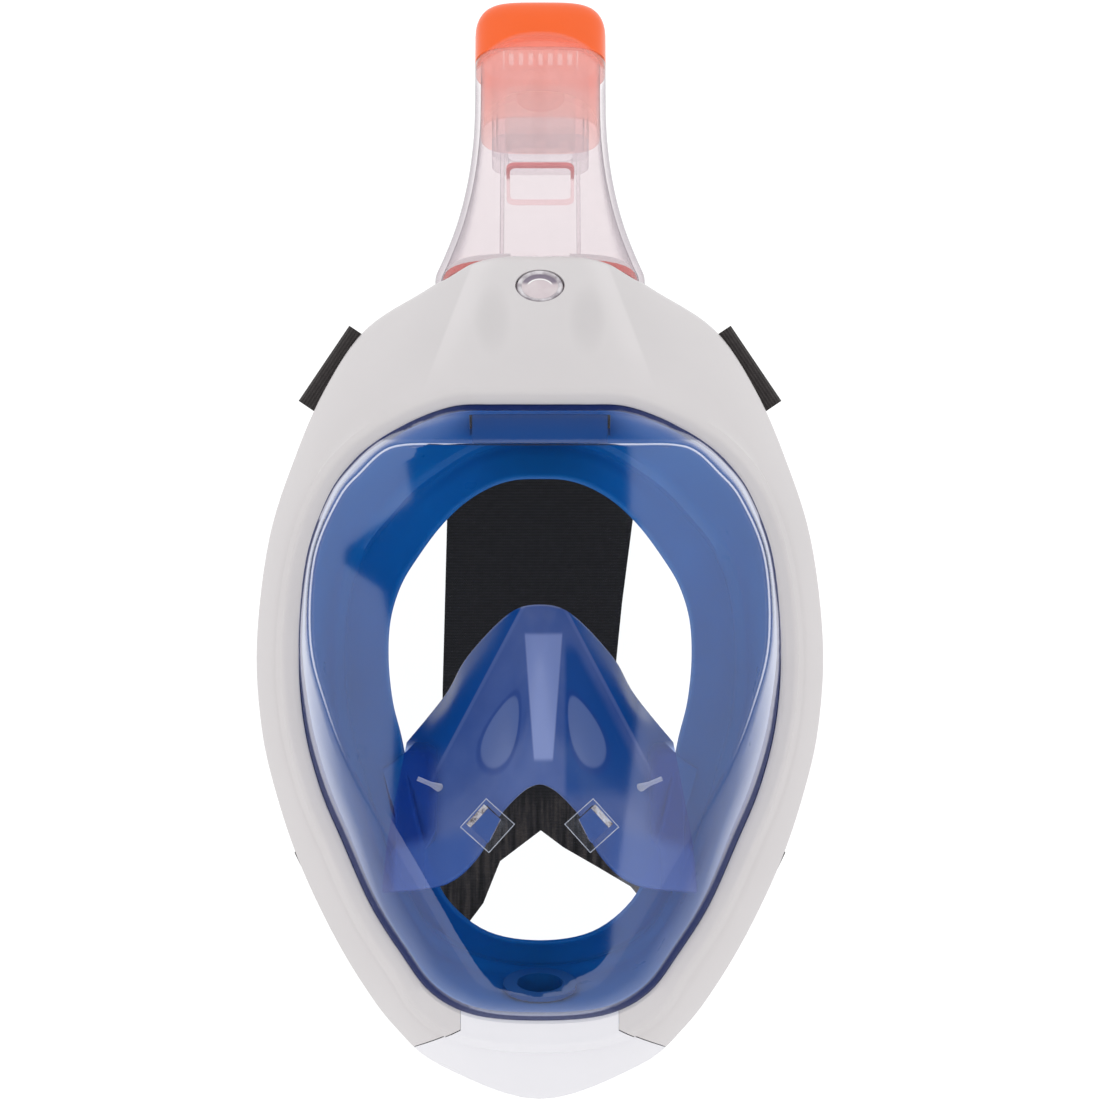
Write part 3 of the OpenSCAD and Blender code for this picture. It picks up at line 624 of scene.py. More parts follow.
def elastic(name, srgb, sheen_folds=False):
    """Ribbed elastic webbing with yarns running along its ribs, with painted light on the rib tops and
    painted shade in the grooves. The flag for the folds low down paints a brownish-grey sheen on them.
    """
    m = new_material(name)
    split = m.node("SeparateXYZ", Vector=m.value("UVMap"))
    across, along = (Value(m, split.outputs[part]) for part in "XY")
    rib = (along * (2 * math.pi / RIB_PITCH) + m.noise(240, 3) * 0.6).sine()
    yarn = (across * (2 * math.pi / YARN_PITCH)).sine()
    height = rib * 0.6 + yarn * rib * 0.4
    base = linear(srgb)
    # Painted light and shade: the rib tops lighter, the grooves between them darker, following the ribs'
    # height.
    rib_highlight = tuple(min(1, c * 2.6 + 0.004) for c in base)
    colour = m.ramp(height * 0.25 + 0.5, (0.25, base), (0.85, rib_highlight))
    if sheen_folds:
        # Painted sheen: brownish-grey light on the twisted folds low down.
        stretched = m.value("CombineXYZ", X=across * 0.5, Y=along * 0.045)
        folds = m.ramp(m.noise(1.0, 3, 0.6, stretched), (0.35, (24, 23, 24)),
                       (0.5, (58, 55, 56)), (0.62, (84, 77, 74)))
        colour = m.blend(m.step(along, -34, -44) * 0.75, colour, folds)
    colour = m.tint(colour, m.ramp(m.noise(700), (0.3, 0.55), (0.7, 1.25)), 0.5)
    return m.surface(m.skin(colour, 0.82, 0.18, Sheen_Weight=0.12, Sheen_Roughness=0.5,
                            Normal=m.bump(height, 0.55, 0.00025)))


def cup_silicone(name):
    """Milky blue cup: painted highlights on the flat nose ridge and the nostril ovals, painted shade round
    the ovals and on a deeper blue strip right of the ridge, a deep blue strip beyond the crease with a
    painted highlight along it, and see-through lobes.
    """
    m = new_material(name)
    x, _, z = m.place()
    x = x - 1.2
    wide = abs(x)
    colour = m.ramp(m.noise(38, 4, 0.55), (0.3, (56, 84, 152)), (0.7, (82, 104, 166)))

    crease = z * 0.53 + (wide - 23.0)
    # Painted shade: a deeper blue strip on the right of the ridge only, where no reflection lies on the cup.
    shaded_strip = m.step(x, 6, 8) * m.step(crease, -1.5, -5) * m.step(z, -34, -26) * m.step(z, 22, 14)
    colour = m.blend(shaded_strip * 0.9, colour, (4, 70, 146))

    away, down = wide - 13.3, z + 9.5
    along = away * 0.35 - down * 0.94
    across = (away * 0.94 + down * 0.35) / (along * 0.14 + 5.0)
    along = along / 12.5
    oval = along * along + across * across
    # Painted shade in a ring round each nostril bulge.
    colour = m.blend(m.step(oval, 1.5, 1.15) * m.step(oval, 0.75, 1.0) * 0.5, colour, (36, 66, 140))
    # Painted highlight: a pale oval on each nostril bulge.
    colour = m.blend(m.step(oval, 1.05, 0.8) * 0.75, colour, (104, 122, 174))

    # Painted highlight: a pale flat column down the nose ridge.
    beside = wide - ((z + 18.0) * 0.078 + 3.0)
    ridge = m.step(beside, 0.35, -0.35) * m.step(z, -19, -17) * m.step(z, 22.5, 21)
    colour = m.blend(ridge * 0.92, colour, (138, 154, 208))
    colour = m.blend(m.step(crease, 0, 0.7) * m.step(z, -26, -12), colour, (2, 74, 152))
    # Painted highlight: a faint pale line along the crease.
    fold = m.step(crease, -1.3, -0.4) * m.step(crease, 0.5, 0)
    colour = m.blend(fold * 0.35, colour, (110, 130, 190))
    lobe = m.step(wide, 18, 26) * m.step(wide * 0.25 + z, -32, -38)
    colour = m.blend(lobe * 0.7, colour, (58, 104, 190))

    body = m.skin(colour, m.noise(110) * 0.12 + 0.16, 0.4, (260, 0.05, 0.0005))
    wing = m.step(wide, 31, 39) * m.step(z, -12, -19)
    tip = lobe * m.step(wide, 28, 48) + m.step(wide, 46.5, 50.5) * 1.6
    solid = 0.98 - (wing - lobe * wing) * 0.9 - (tip * 0.25 + lobe * 0.28)
    return m.surface(m.mix(solid, m.clear(214, 226, 252), body))


def two_tone_plastic(name, low_srgb, high_srgb, low, high):
    """Moulded plastic that turns from one colour to another between two heights."""
    m = new_material(name)
    colour = m.blend(m.step(m.place()[2], low, high), low_srgb, high_srgb)
    colour = m.tint(colour, m.ramp(m.noise(40), (0.3, 0.84), (0.7, 1.0)), 0.3)
    return m.surface(m.skin(colour, m.noise(120) * 0.1 + 0.3, 0.15, (900, 0.05, 0.0002)))


def valve_material(name, lines):
    """Near-invisible clear square of an inlet valve. lines: painted highlights along its edges, else a
    painted glint along the hinge.
    """
    m = new_material(name)
    x, _, z = m.place()
    x, z = abs(x) - INLET_AT[0], z - INLET_AT[2]
    c, s = math.cos(VALVE_TURN), math.sin(VALVE_TURN)
    u, v = x * c - z * s, x * s + z * c
    if lines:
        # Painted highlight: thin bright lines along the square's edges.
        mask = m.step(abs(u).at_least(abs(v)), 5.9, 6.0) * 0.5
        colour = m.ramp(m.noise(300, 3), (0.3, (196, 204, 224)), (0.7, (236, 238, 246)))
    else:
        # Painted glint: a bright metal-like strip along the hinge.
        hinge_glint = m.step(v, 3.4, 3.7)
        covered = m.step(z * 0.5 + (x + 3.2), -0.3, 0.3) * (1.0 - hinge_glint)
        colour = m.ramp(m.noise(420, 4, 0.7), (0.35, (96, 78, 76)), (0.5, (226, 214, 208)),
                        (0.66, (250, 248, 250)))
        colour = m.blend(covered, colour, (60, 92, 162))
        mask = hinge_glint.at_least(covered)
    body = m.skin(colour, 0.2, 0.5)
    return m.surface(m.mix(mask * 0.9 + 0.02, m.clear(250, 252, 255), body))


def seal_material(name):
    """Thin red seal round the float cartridge, clear towards its back."""
    m = new_material(name)
    low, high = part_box("cartridge_seal")
    middle = (low[1] + high[1]) / 2 / MM
    colour = m.ramp(m.noise(200, 3), (0.3, (214, 96, 100)), (0.7, (232, 122, 124)))
    body = m.skin(colour, 0.35, 0.3)
    solid = m.step(m.place()[1], middle - 2, middle - 4.5) * 0.75 + 0.06
    return m.surface(m.airy(m.mix(solid, m.clear(255, 246, 246), body)))


def button_material(name):
    """Release button: a clear greyish ring round a pale pink dish, with painted shade along the dish's upper
    rim and a painted highlight just inside it.
    """
    m = new_material(name)
    x, y, z = m.place()
    up = (y - BUTTON_AT[1]) * LIFT[1] + (z - BUTTON_AT[2]) * LIFT[2]
    radius = (x * x + up * up) ** 0.5
    dish, rim_r = BUTTON_DIA / 2 - 1.8, BUTTON_DIA / 2
    pink = m.ramp(m.noise(220, 3), (0.3, (212, 198, 203)), (0.7, (222, 211, 214)))
    ring = m.ramp(m.noise(300), (0.35, (158, 150, 158)), (0.6, (224, 220, 224)))
    colour = m.blend(m.step(radius, dish - 0.05, dish + 0.15), pink, ring)
    # Painted shade on the upper wall of the dish.
    rim_shade = m.step(radius, dish - 1.5, dish - 1.2) * m.step(radius, dish + 0.2, dish) * m.step(up, 1, 3)
    colour = m.blend(rim_shade * 0.85, colour, (112, 102, 124))
    # Painted highlight: a white gleam just inside the dish's upper rim.
    gleam = m.step(radius, dish - 2.1, dish - 1.8) * m.step(radius, dish - 1.4, dish - 1.6)
    colour = m.blend(gleam * m.step(up, 1.2, 2.6), colour, (1.0, 1.0, 1.0))
    outline = m.step(radius, rim_r - 0.45, rim_r - 0.15)
    colour = m.blend(outline * 0.6, colour, (150, 140, 150))
    return m.surface(m.skin(colour, 0.16, 0.5))


def window_material():
    """Clear window: a faint mirror face on, a strong one where it turns away, dark where it is clamped."""
    m = new_material("window_polycarbonate")
    facing = m.facing()
    tint = m.ramp(facing, (0.0, (253, 254, 255)), (0.6, (248, 250, 255)),
                  (1.0, (206, 212, 232)))
    shine = m.bsdf("Glossy", Roughness=m.noise(35, 5, 0.6) * 0.012 + 0.012, Color=(236, 240, 255))
    mirror = m.ramp(facing, (0.0, 0.11), (0.08, 0.11), (0.2, 0.08), (0.34, 0.085), (0.5, 0.2), (0.62, 0.5),
                    (0.76, 0.8), (1.0, 0.94))
    x, _, z = m.place()
    top = m.step(z, 83.6, 84.6)
    mirror = mirror * (top * -0.45 + 1.0)
    quiet = top * m.step(abs(x), 36, 18)
    mirror = mirror * (quiet * -0.8 + 1.0)
    lip = m.step(m.value("Attribute", "Fac", attribute_name="edge"), 0.45, 0.9) * m.step(z, -30, 20)
    mirror = mirror.at_least(lip * 0.8) * m.front()
    clear = m.mix(mirror, m.bsdf("Transparent", Color=tint), shine)
    clamped = m.step(m.value("Attribute", "Fac", attribute_name="foot"), 0.35, 0.75) * 0.85
    navy = m.bsdf("Diffuse", Color=(26, 40, 92))
    return m.surface(m.airy(m.mix(clamped, clear, navy)))


WHITE = moulded_plastic("white_shell", (219, 215, 216), shade=hood_shade)
CHIN_WHITE = moulded_plastic("chin_shell", (242, 241, 246), roughness=0.3)
INNER_GREY = moulded_plastic("inner_shell", (205, 206, 210), roughness=0.45)
BUCKLE = moulded_plastic("buckle_nylon", (34, 34, 37), roughness=0.4, spread=0.08)
DUCT = two_tone_plastic("duct_plastic", (0, 72, 142), (222, 216, 220), 116, 124)
WINDOW = window_material()
CLEAR = clear_plastic("clear_plastic", tint=(250, 247, 248), haze=0.1)
CLEAR_THIN = clear_plastic("clear_plastic_thin", haze=0.02)
FLOAT_WHITE = clear_plastic("float_plastic", tint=(252, 242, 240), edge=(240, 222, 220), haze=0.22)
ORANGE = cap_plastic("cap_plastic")
BUTTON = button_material("button_plastic")
PIN_CLEAR = translucent_silicone("pin_plastic", (188, 196, 222), (226, 230, 244), see_through=0.5)
VALVE_SQUARE = valve_material("valve_square_plastic", True)
VALVE_FLAP = valve_material("valve_flap_silicone", False)
FLAP_CLEAR = translucent_silicone("flap_silicone", (176, 190, 226), (205, 214, 238), see_through=0.55)
SKIRT_BLUE = silicone("skirt_silicone", (0, 110, 192), (0, 96, 174))
DRAIN = silicone("drain_silicone", (0, 88, 160), (0, 78, 148))
CUP_BLUE = cup_silicone("cup_silicone")
GASKET = translucent_silicone("socket_silicone", (236, 112, 104), (222, 84, 76), see_through=0.6,
                              seen_through=(255, 206, 200))
FLOAT_SEAL = translucent_silicone("float_silicone", (250, 190, 182), (246, 176, 168), see_through=0.75,
                                  seen_through=(255, 236, 233))
CARTRIDGE_SEAL = seal_material("cartridge_silicone")
STRAP = elastic("strap_elastic", (22, 22, 25))
PANEL = elastic("panel_elastic", (22, 22, 25), sheen_folds=True)
LOOP = elastic("loop_webbing", (44, 41, 41))

# ---- Frame and chin guard ----
rim, edge, front = loop(RIM), loop(EDGE), loop(FRONT)
outward = (edge - rim) * (1, 0, 1)
band_width = np.linalg.norm(outward, axis=1)
outward = unit(outward)
top_weight = smoothstep(rim[:, 2], 55, 90)
chin_weight = smoothstep(-rim[:, 2], 84, 102)


def rim_line(s, y):
    """Loop of points s outwards from the rim, at depth y."""
    line = rim + np.reshape(s, (-1, 1)) * outward
    line[:, 1] = y
    return line


def hood_relief(x, z):
    """Depth of the hood's skin: its raised middle, wider below, and the dimples beside the button."""
    half = 21 + 0.28 * (140 - z)
    raised = np.exp(-(x / half) ** 14) * smoothstep(z, 98, 130)
    dimple = np.exp(-((np.abs(x) - 15.5) / 4.2) ** 2 - ((z - 123) / 10) ** 2)
    return HOOD_RELIEF * dimple - HOOD_RELIEF * raised


def shell(name):
    """The frame's wall from the window rim, over the crease, to the rear edge."""
    depth = rim[:, 1]
    half = FRAME_WALL / 2
    crease = 5.2 - 1.0 * top_weight + 2.6 * chin_weight
    bow = 1.9 - 0.3 * top_weight
    front_edge = ((half, 3.0), (half + 0.02, 2.7), (half + 0.25, 2.25), (0.5 * crease, 1.55),
                  (crease - 0.9, 0.72), (crease - 0.25, 0.38), (crease + 0.35, 0.36), (crease + 1.1, 0.52))
    rows = [rim_line(s, depth + back) for s, back in front_edge]
    for f in (0.12, 0.24, 0.36, 0.48, 0.6, 0.7, 0.8, 0.88, 0.94, 0.98):
        s = crease + f * (band_width - half - crease)
        row = rim_line(s, depth + (edge[:, 1] - depth) * (s / band_width) ** bow + 0.5 * (1 - f))
        row[:, 1] += hood_relief(row[:, 0], row[:, 2])
        rows.append(row)
    rear_edge = ((0, 0.4), (0.4, 2.5), (1.4, 6), (2.7, 10), (4, 14))
    rows += [rim_line(band_width - half - inset, edge[:, 1] + back) for inset, back in rear_edge]
    return rounded_sheet(name, np.array(rows), FRAME_WALL)


# Outline of the piece cut from the frame for the chin guard: x, height
CHIN = [(-25.5, -90), (-25.5, -105), (-39.5, -111.4), (-80, -131.4), (-80, -160),
        (80, -160), (80, -131.4), (39.5, -111.4), (25.5, -105), (25.5, -90)]
# Where the straps meet the frame's edge: x, depth, height, turn in degrees
UPPER_ANCHOR = (66.2, 55.4, 107.2, 56.0)
LOWER_ANCHOR = (73.4, 41.2, -63.4, 115.5)


def turned_point(at, turn, side, p):
    """A point local to a place on the mask, turned about its depth. side -1 mirrors it."""
    x, y, z = p
    c, s = math.cos(turn), math.sin(turn)
    return np.array([side * (at[0] + x * c + z * s), at[1] + y, at[2] - x * s + z * c])


def anchor_point(place, side, p):
    """A point local to a strap anchor: x along the frame's edge, z outwards."""
    return turned_point(place, math.radians(place[3]), side, p)


def slot_cutter(place, side):
    half = STRAP_W / 2 + SLOT_ROOM
    corners = ((-half, 4), (half, 4), (half, 7.6), (-half, 7.6))
    return tube_mesh("slot", [[anchor_point(place, side, (x, y, z)) for x, y in corners] for z in (-10, 6)])


def make_frame():
    obj = shell("face_frame_shell")
    socket = passage("socket", SNORKEL_W + 1, SNORKEL_D + 1, -PLUG_DEPTH - 1, 70, 9)
    hole = cylinder_cutter("hole", BUTTON_AT, HOOD, HOLE_R, -6, 10)
    slots = [slot_cutter(place, side) for side in (-1, 1) for place in (UPPER_ANCHOR, LOWER_ANCHOR)]
    cut(obj, [prism("chin", CHIN, -10, 90), socket, hole, *slots])
    soften(obj, 32)
    finish_piece(obj, "mask", WHITE, "frame_white", "face_frame")


def make_chin():
    """The chin guard: a little smaller than the gap it fills."""
    obj = shell("chin_guard_shell")
    cut(obj, [prism("chin", [(x * 0.996, z - 0.3) for x, z in CHIN], -10, 90)], "INTERSECT")
    soften(obj, 32)
    finish_piece(obj, "mask", CHIN_WHITE, "chin_white", "chin_guard")


make_frame()
make_chin()

# ---- Window ----
def edge_distance(coords, line):
    """How far points stand from the points of a loop, seen from the front."""
    return np.linalg.norm(coords[:, None, [0, 2]] - line[None, :, [0, 2]], axis=2)


def make_window():
    """Window with bowed side walls, its front edge and clamped foot marked for the material."""
    half = VISOR_WALL / 2
    inward = -unit(front * (1, 0, 1))
    rows = [front * f + (0, half, 0) for f in (0.3, 0.5, 0.7, 0.85, 0.93)]
    rows += [front + inward * 2.2 + (0, half, 0), front + inward * 1.3 + (0, half + 0.05, 0)]
    wall_top = front + inward * 0.9 + (0, half + 0.55, 0)
    wall_foot = rim_line(-half - 0.5, rim[:, 1] - 1)
    for f in (0.0, 0.12, 0.3, 0.5, 0.7, 0.86, 0.96):
        bow = 1.4 * math.sin(math.pi * f)
        rows.append(wall_top + f * (wall_foot - wall_top) - inward * bow - (0, 0.5 * bow, 0))
    rows += [wall_foot, rim_line(-half - 0.5, rim[:, 1] + 2.3), rim_line(-0.9, rim[:, 1] + 4.1),
             rim_line(0.4, rim[:, 1] + 4.6), rim_line(3.6, rim[:, 1] + 4.6)]
    rows = np.array(rows)
    wall = grid_normals(rows, True) * half
    obj = tube_mesh("visor_window", np.concatenate([rows + wall, (rows - wall)[::-1]]))
    fix_normals(obj)
    coords = np.array([v.co for v in obj.data.vertices]) / MM
    nearest = edge_distance(coords, front).min(axis=1)
    paint(obj, "edge", np.exp(-((nearest - 0.8) / 0.3) ** 2) * (coords[:, 1] < 3))
    gap = edge_distance(coords, rim)
    reach = 0.9 + 2.0 * smoothstep(-rim[:, 2], -30, 70)
    foot = 1 - np.clip(np.maximum(gap.min(axis=1) - 1.6, 0) / reach[gap.argmin(axis=1)], 0, 1)
    paint(obj, "foot", foot * (coords[:, 1] > 8))
    soften(obj, 60)
    finish_piece(obj, "mask", WINDOW, "window_clear", "visor")


make_window()

# ---- Face skirt and nose cup ----
def make_skirt():
    """Face seal: clamped in the frame's rim, out to a fold, and in to the lip of the face opening."""
    fold, lip = loop(FOLD), loop(LIP)
    out = unit((fold - lip) * (1, 0, 1))
    bead = ((4, 7.1), (2.4, 7.1), (0.6, 7.15), (-0.6, 7.8), (-1.3, 9.2), (-1.6, 11))
    rows = [rim_line(s, rim[:, 1] + back) for s, back in bead]
    start = rows[-1]
    for f, bulge in ((0.2, 0.9), (0.4, 1.5), (0.6, 1.9), (0.78, 1.8), (0.9, 1.2)):
        rows.append(start + f * (fold - start) + bulge * out)
    rows += [fold + (0, -2.6, 0) + 0.5 * out, fold - 0.9 * out, fold - 3.2 * out + (0, -0.2, 0)]
    for f in (0.3, 0.5, 0.7, 0.85, 0.94):
        rows.append(fold + f * (lip - fold) + (0, 1.2 * math.sin(math.pi * f), 0))
    rows.append(lip)
    rows = np.array(rows)
    thick = np.full(rows.shape[:2], SKIRT_WALL)
    thick[-3:] = SKIRT_RIM
    obj = rounded_sheet("face_skirt_silicone", rows, thick)
    duct = prism("duct", [(-23, 74), (23, 74), (23, 100), (-23, 100)], 35, 53.6)
    up = (0, -math.sin(DRAIN_TILT), math.cos(DRAIN_TILT))
    drain = cylinder_cutter("drain", DRAIN_AT, up, DRAIN_R, -12, 18)
    cut(obj, [duct, drain])
    soften(obj, 45)
    finish_piece(obj, "mask", SKIRT_BLUE, "skirt_blue", "face_skirt")


def make_nose_band():
    band = rounded_rows([mirrored_row(r, 8) for r in BAND_ROWS], 5)
    piece = rounded_sheet("face_skirt_nose_band", band, BAND_WALL, wrap=False)
    soften(piece, 50)
    finish_piece(piece, "mask", SKIRT_BLUE, "skirt_blue")


def cup_shape(grid):
    """Adds the nose ridge and the nostril bulges."""
    x, z = grid[..., 0], grid[..., 2]
    out = grid.copy()
    down = smoothstep(z, 24, 6) * smoothstep(-z, 32, 14)
    ridge = np.exp(-(x / 6.5) ** 4) * down
    nostril = np.exp(-(((np.abs(x) - 14.5) / 6.0) ** 2) - (((z + 9) / 13.0) ** 2))
    out[..., 1] -= 1.0 * ridge + 1.6 * nostril
    return out


def make_cup():
    grid = cup_shape(rounded_rows([mirrored_row(r, 12) for r in CUP_ROWS], 14))
    obj = rounded_sheet("nose_cup_silicone", grid, CUP_WALL, wrap=False)
    cut(obj, [inlet_cutter(side) for side in (-1, 1)])
    soften(obj, 50)
    finish_piece(obj, "mask", CUP_BLUE, "cup_blue", "nose_cup")


def inlet_cutter(side):
    """Square hole for an inlet valve."""
    r = INLET_HOLE / 2
    corners = ((-r, -r), (r, -r), (r, r), (-r, r))
    return tube_mesh("inlet", [[turned_point(INLET_AT, VALVE_TURN, side, (x, y, z)) for x, z in corners]
                               for y in (0, 24)])


make_skirt()
make_nose_band()
make_cup()

# ---- Snorkel ----
def make_tube():
    stops = np.concatenate([np.linspace(-PLUG_DEPTH, 4, 8), np.linspace(7, CAP_FROM - 0.3, 30)])
    grid = np.array([section(t, tube_width(t) - SNORKEL_WALL, SNORKEL_D - SNORKEL_WALL) for t in stops])
    obj = rounded_sheet("snorkel_tube_clear", grid, SNORKEL_WALL)
    cut(obj, [cylinder_cutter("hole", BUTTON_AT, HOOD, HOLE_R, -9, 7)])
    soften(obj, 50)
    finish_piece(obj, "snorkel", CLEAR, "clear_plastic", "snorkel_tube")


def make_button():
    """Release button: a dished disc, level with the hood round its hole."""
    r = BUTTON_DIA / 2
    profile = [(r - 2.6, 4.8), (r - 2.0, 4.95), (r - 1.6, 5.5), (r - 1.1, 5.85), (r - 0.5, 5.8),
               (r - 0.1, 5.4), (r, 4.8), (r, 0.2), (r - 0.5, -0.2)]
    side = np.cross(HOOD, (1.0, 0, 0))
    around = [np.array([math.cos(a), 0, 0]) + math.sin(a) * side
              for a in np.linspace(0, 2 * math.pi, BUTTON_POINTS, endpoint=False)]
    rings = [[BUTTON_AT + h * HOOD + reach * point for point in around] for reach, h in profile]
    obj = tube_mesh("release_button_disc", rings)
    fix_normals(obj)
    soften(obj, 40)
    finish_piece(obj, "button", BUTTON, "clear_plastic", "release_clip")


def cap_section(t, off_width, off_depth):
    return section(t, SNORKEL_TOP_W - off_width, SNORKEL_D - off_depth)


def make_cap():
    """Hollow cap with straight sides, a rounded top and a vent at its back."""
    rows = []
    for f in (0, 0.1, 0.3, 0.45, 0.56, 0.63, 0.7, 0.78, 0.85, 0.91, 0.955, 0.985, 1.0):
        round_share = max(0, f - CAP_STRAIGHT) / (1 - CAP_STRAIGHT)
        inset = 1 - math.sqrt(1 - round_share ** 2 * 0.98)
        rows.append(cap_section(CAP_FROM + f * (CAP_TO - CAP_FROM), 13 * inset, 12 * inset))
    rows += [cap_section(CAP_TO + 0.5, 22, 18), section(CAP_TO + 0.7, 6, 3)]
    obj = tube_mesh("snorkel_cap_orange", rows)
    hollow = tube_mesh("hollow", [cap_section(CAP_FROM - 3, 4, 4), cap_section(CAP_TO - 7, 4.4, 4.4),
                                  cap_section(CAP_TO - 2.4, 12, 10)])
    corners = ((-13, 0), (13, 0), (13, 30), (-13, 30))
    vent = tube_mesh("vent", [placed_on_axis(CAP_FROM + 7.5, [(*corner, z) for corner in corners])
                              for z in (0, 9)])
    cut(obj, [hollow, vent])
    soften(obj, 40)
    finish_piece(obj, "snorkel", ORANGE, "cap_orange", "snorkel_cap")


def make_sleeve():
    """The cap's inner sleeve, which runs down inside the tube."""
    off = 2 * SNORKEL_WALL + 1.2
    rows = np.array([cap_section(t, off, off) for t in np.linspace(SLEEVE_FROM, SLEEVE_TO, 12)])
    obj = rounded_sheet("snorkel_cap_apron", rows, SLEEVE_WALL)
    soften(obj, 50)
    finish_piece(obj, "snorkel", ORANGE, "cap_orange")


make_tube()
make_button()
make_cap()
make_sleeve()


# ---- Strap ----
def lay_uv(obj, uv_at):
    """A UV map in millimetres, with the place of each point given by its number."""
    uv = obj.data.uv_layers.new(name="UVMap")
    for data, corner in zip(uv.data, obj.data.loops):
        data.uv = uv_at(corner.vertex_index)


def webbing(name, rows, path, wrap, angle):
    """Webbing over rows that run along a path: over its one side, and back over the other."""
    obj = band_mesh(name, rows, wrap)
    x = np.concatenate([ACROSS, ACROSS[::-1]])
    y = np.concatenate([[0], np.cumsum(np.linalg.norm(np.diff(path, axis=0), axis=1))])
    lay_uv(obj, lambda v: (x[v // len(path)], y[v % len(path)]))
    fix_normals(obj)
    soften(obj, angle)
    return obj


# Paths of the straps' middle lines: x, depth, height, then the direction of their width
UPPER_PATH = [(34, STRAP_Y - 2.1, 98, 0, 0, -1), (44, STRAP_Y - 2.3, 98.6, 0.06, 0, -1),
              (54, STRAP_Y - 9, 99.4, 0.16, 0, -0.99), (62, 160, 101, 0.3, 0, -0.95),
              (65, 128, 103, 0.42, 0, -0.9), (66, 98, 105.4, 0.5, 0, -0.87), (65.4, 76, 106, 0.56, 0, -0.83)]
SLIDE_FROM = (64, 140, -72)
SLIDE_TO = (64, 98, -66)
SLIDE_WIDE = (0.47, 0, 0.88)
LOWER_PATH_A = [(40, STRAP_Y - 2.5, -76, 0.6, 0, 0.8), (50, STRAP_Y - 3.4, -79, 0.58, 0, 0.81),
                (58, STRAP_Y - 9, -79, 0.54, 0, 0.84), (62.6, 161, -76, 0.5, 0, 0.86),
                SLIDE_FROM + SLIDE_WIDE]
LOWER_PATH_B = [SLIDE_TO + SLIDE_WIDE, (67, 76, -64, 0.45, 0, 0.89), (70.4, 61.4, -62, 0.43, 0, 0.9)]


def arm(place, word, rows, side):
    """One arm of the strap. side -1 mirrors it."""
    path, wides = rows[:, :3] * (side, 1, 1), rows[:, 3:] * (side, 1, 1)
    tangent = unit(np.gradient(path, axis=0))
    wide = unit(wides - np.sum(wides * tangent, axis=1, keepdims=True) * tangent)
    thick = np.cross(tangent, wide) * STRAP_T / 2
    grid = np.array([path + wide * a for a in ACROSS])
    sides = np.concatenate([grid + thick, (grid - thick)[::-1]])
    obj = webbing("strap_%s_band_%s" % (place, word), sides, path, False, 50)
    finish_piece(obj, "mask", STRAP, "strap_black", "strap_%s_%s" % (place, word))


def edge_loop(name, place, side, out):
    """Webbing wrapped round the frame's rear edge: a rounded flat loop."""
    size = np.array([LOOP_LENGTH, LOOP_IN + out])
    path = np.array(rounded_outline(*size, 2.6, 6)) + (LOOP_LENGTH / 2, size[1] / 2 - LOOP_IN)
    centre = path.mean(0)
    inner = centre + (path - centre) * (1 - 2 * STRAP_T / size)
    rings = np.array([[anchor_point(place, side, (x, LOOP_BACK + y, z)) for y, z in shape]
                      for shape, xs in ((path, ACROSS), (inner, ACROSS[::-1])) for x in xs])
    finish_piece(webbing(name, rings, path, True, 60), "mask", LOOP, "strap_black")


def make_straps():
    upper = smooth_path(UPPER_PATH, 10)
    lower = np.concatenate([smooth_path(LOWER_PATH_A, 8), smooth_path(LOWER_PATH_B, 6)])
    for side, word in ((-1, "left"), (1, "right")):
        arm("upper", word, upper, side)
        arm("lower", word, lower, side)
        edge_loop("strap_upper_loop_" + word, UPPER_ANCHOR, side, 6.4)
        edge_loop("strap_lower_loop_" + word, LOWER_ANCHOR, side, 0.7)


def make_panel():
    """Elastic back panel: an X of two bands, broad above and split below."""
    right = [(0, 84), (16, 100), (34, 113), (50, 115), (50, 84), (38, 74), (33, 61), (29, 30), (26, 0),
             (25, -34), (61, -64), (47, -89), (32, -71), (21, -64.5), (8, -57)]
    left = [(0, -51), (-14.5, -62), (-20.5, -77), (-34, -95), (-61, -68), (-35.5, -38), (-35, 0), (-34.2, 30),
            (-33.4, 61), (-38, 74), (-50, 84), (-50, 115), (-34, 113), (-16, 100)]
    obj = prism("strap_back_panel", right + left, STRAP_Y - 0.2, STRAP_Y + 1.6)
    lay_uv(obj, lambda v: (obj.data.vertices[v].co.x / MM, obj.data.vertices[v].co.z / MM))
    fix_normals(obj)
    finish_piece(obj, "mask", PANEL, "strap_black", "strap_panel")


make_straps()
make_panel()

# ---- CAD nodes that keep their shape ----
KEPT = {
    "clamp_ring": INNER_GREY, "drain_grille": INNER_GREY, "air_duct": DUCT, "cup_pins": PIN_CLEAR,
    "drain_seat": DRAIN, "drain_disc": DRAIN, "socket_gasket": GASKET, "snorkel_ribs": CLEAR,
    "cap_vent_grille": ORANGE, "float_housing": CLEAR_THIN, "valve_seat": CLEAR_THIN,
    "float_body": FLOAT_WHITE, "float_seal": FLOAT_SEAL, "cartridge_seal": CARTRIDGE_SEAL,
}
KEPT_PAIRS = {
    "inlet_seat": VALVE_SQUARE, "inlet_flap": VALVE_FLAP, "exhale_flap": FLAP_CLEAR, "strap_slider": BUCKLE,
}
for stem, look in KEPT_PAIRS.items():
    KEPT[stem + "_left"] = KEPT[stem + "_right"] = look
for name, look in KEPT.items():
    cover(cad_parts[name], look)

# ---- Floor, light and camera ----
FLOOR_GAP = 0.004
FLOOR_HALF = 6.0
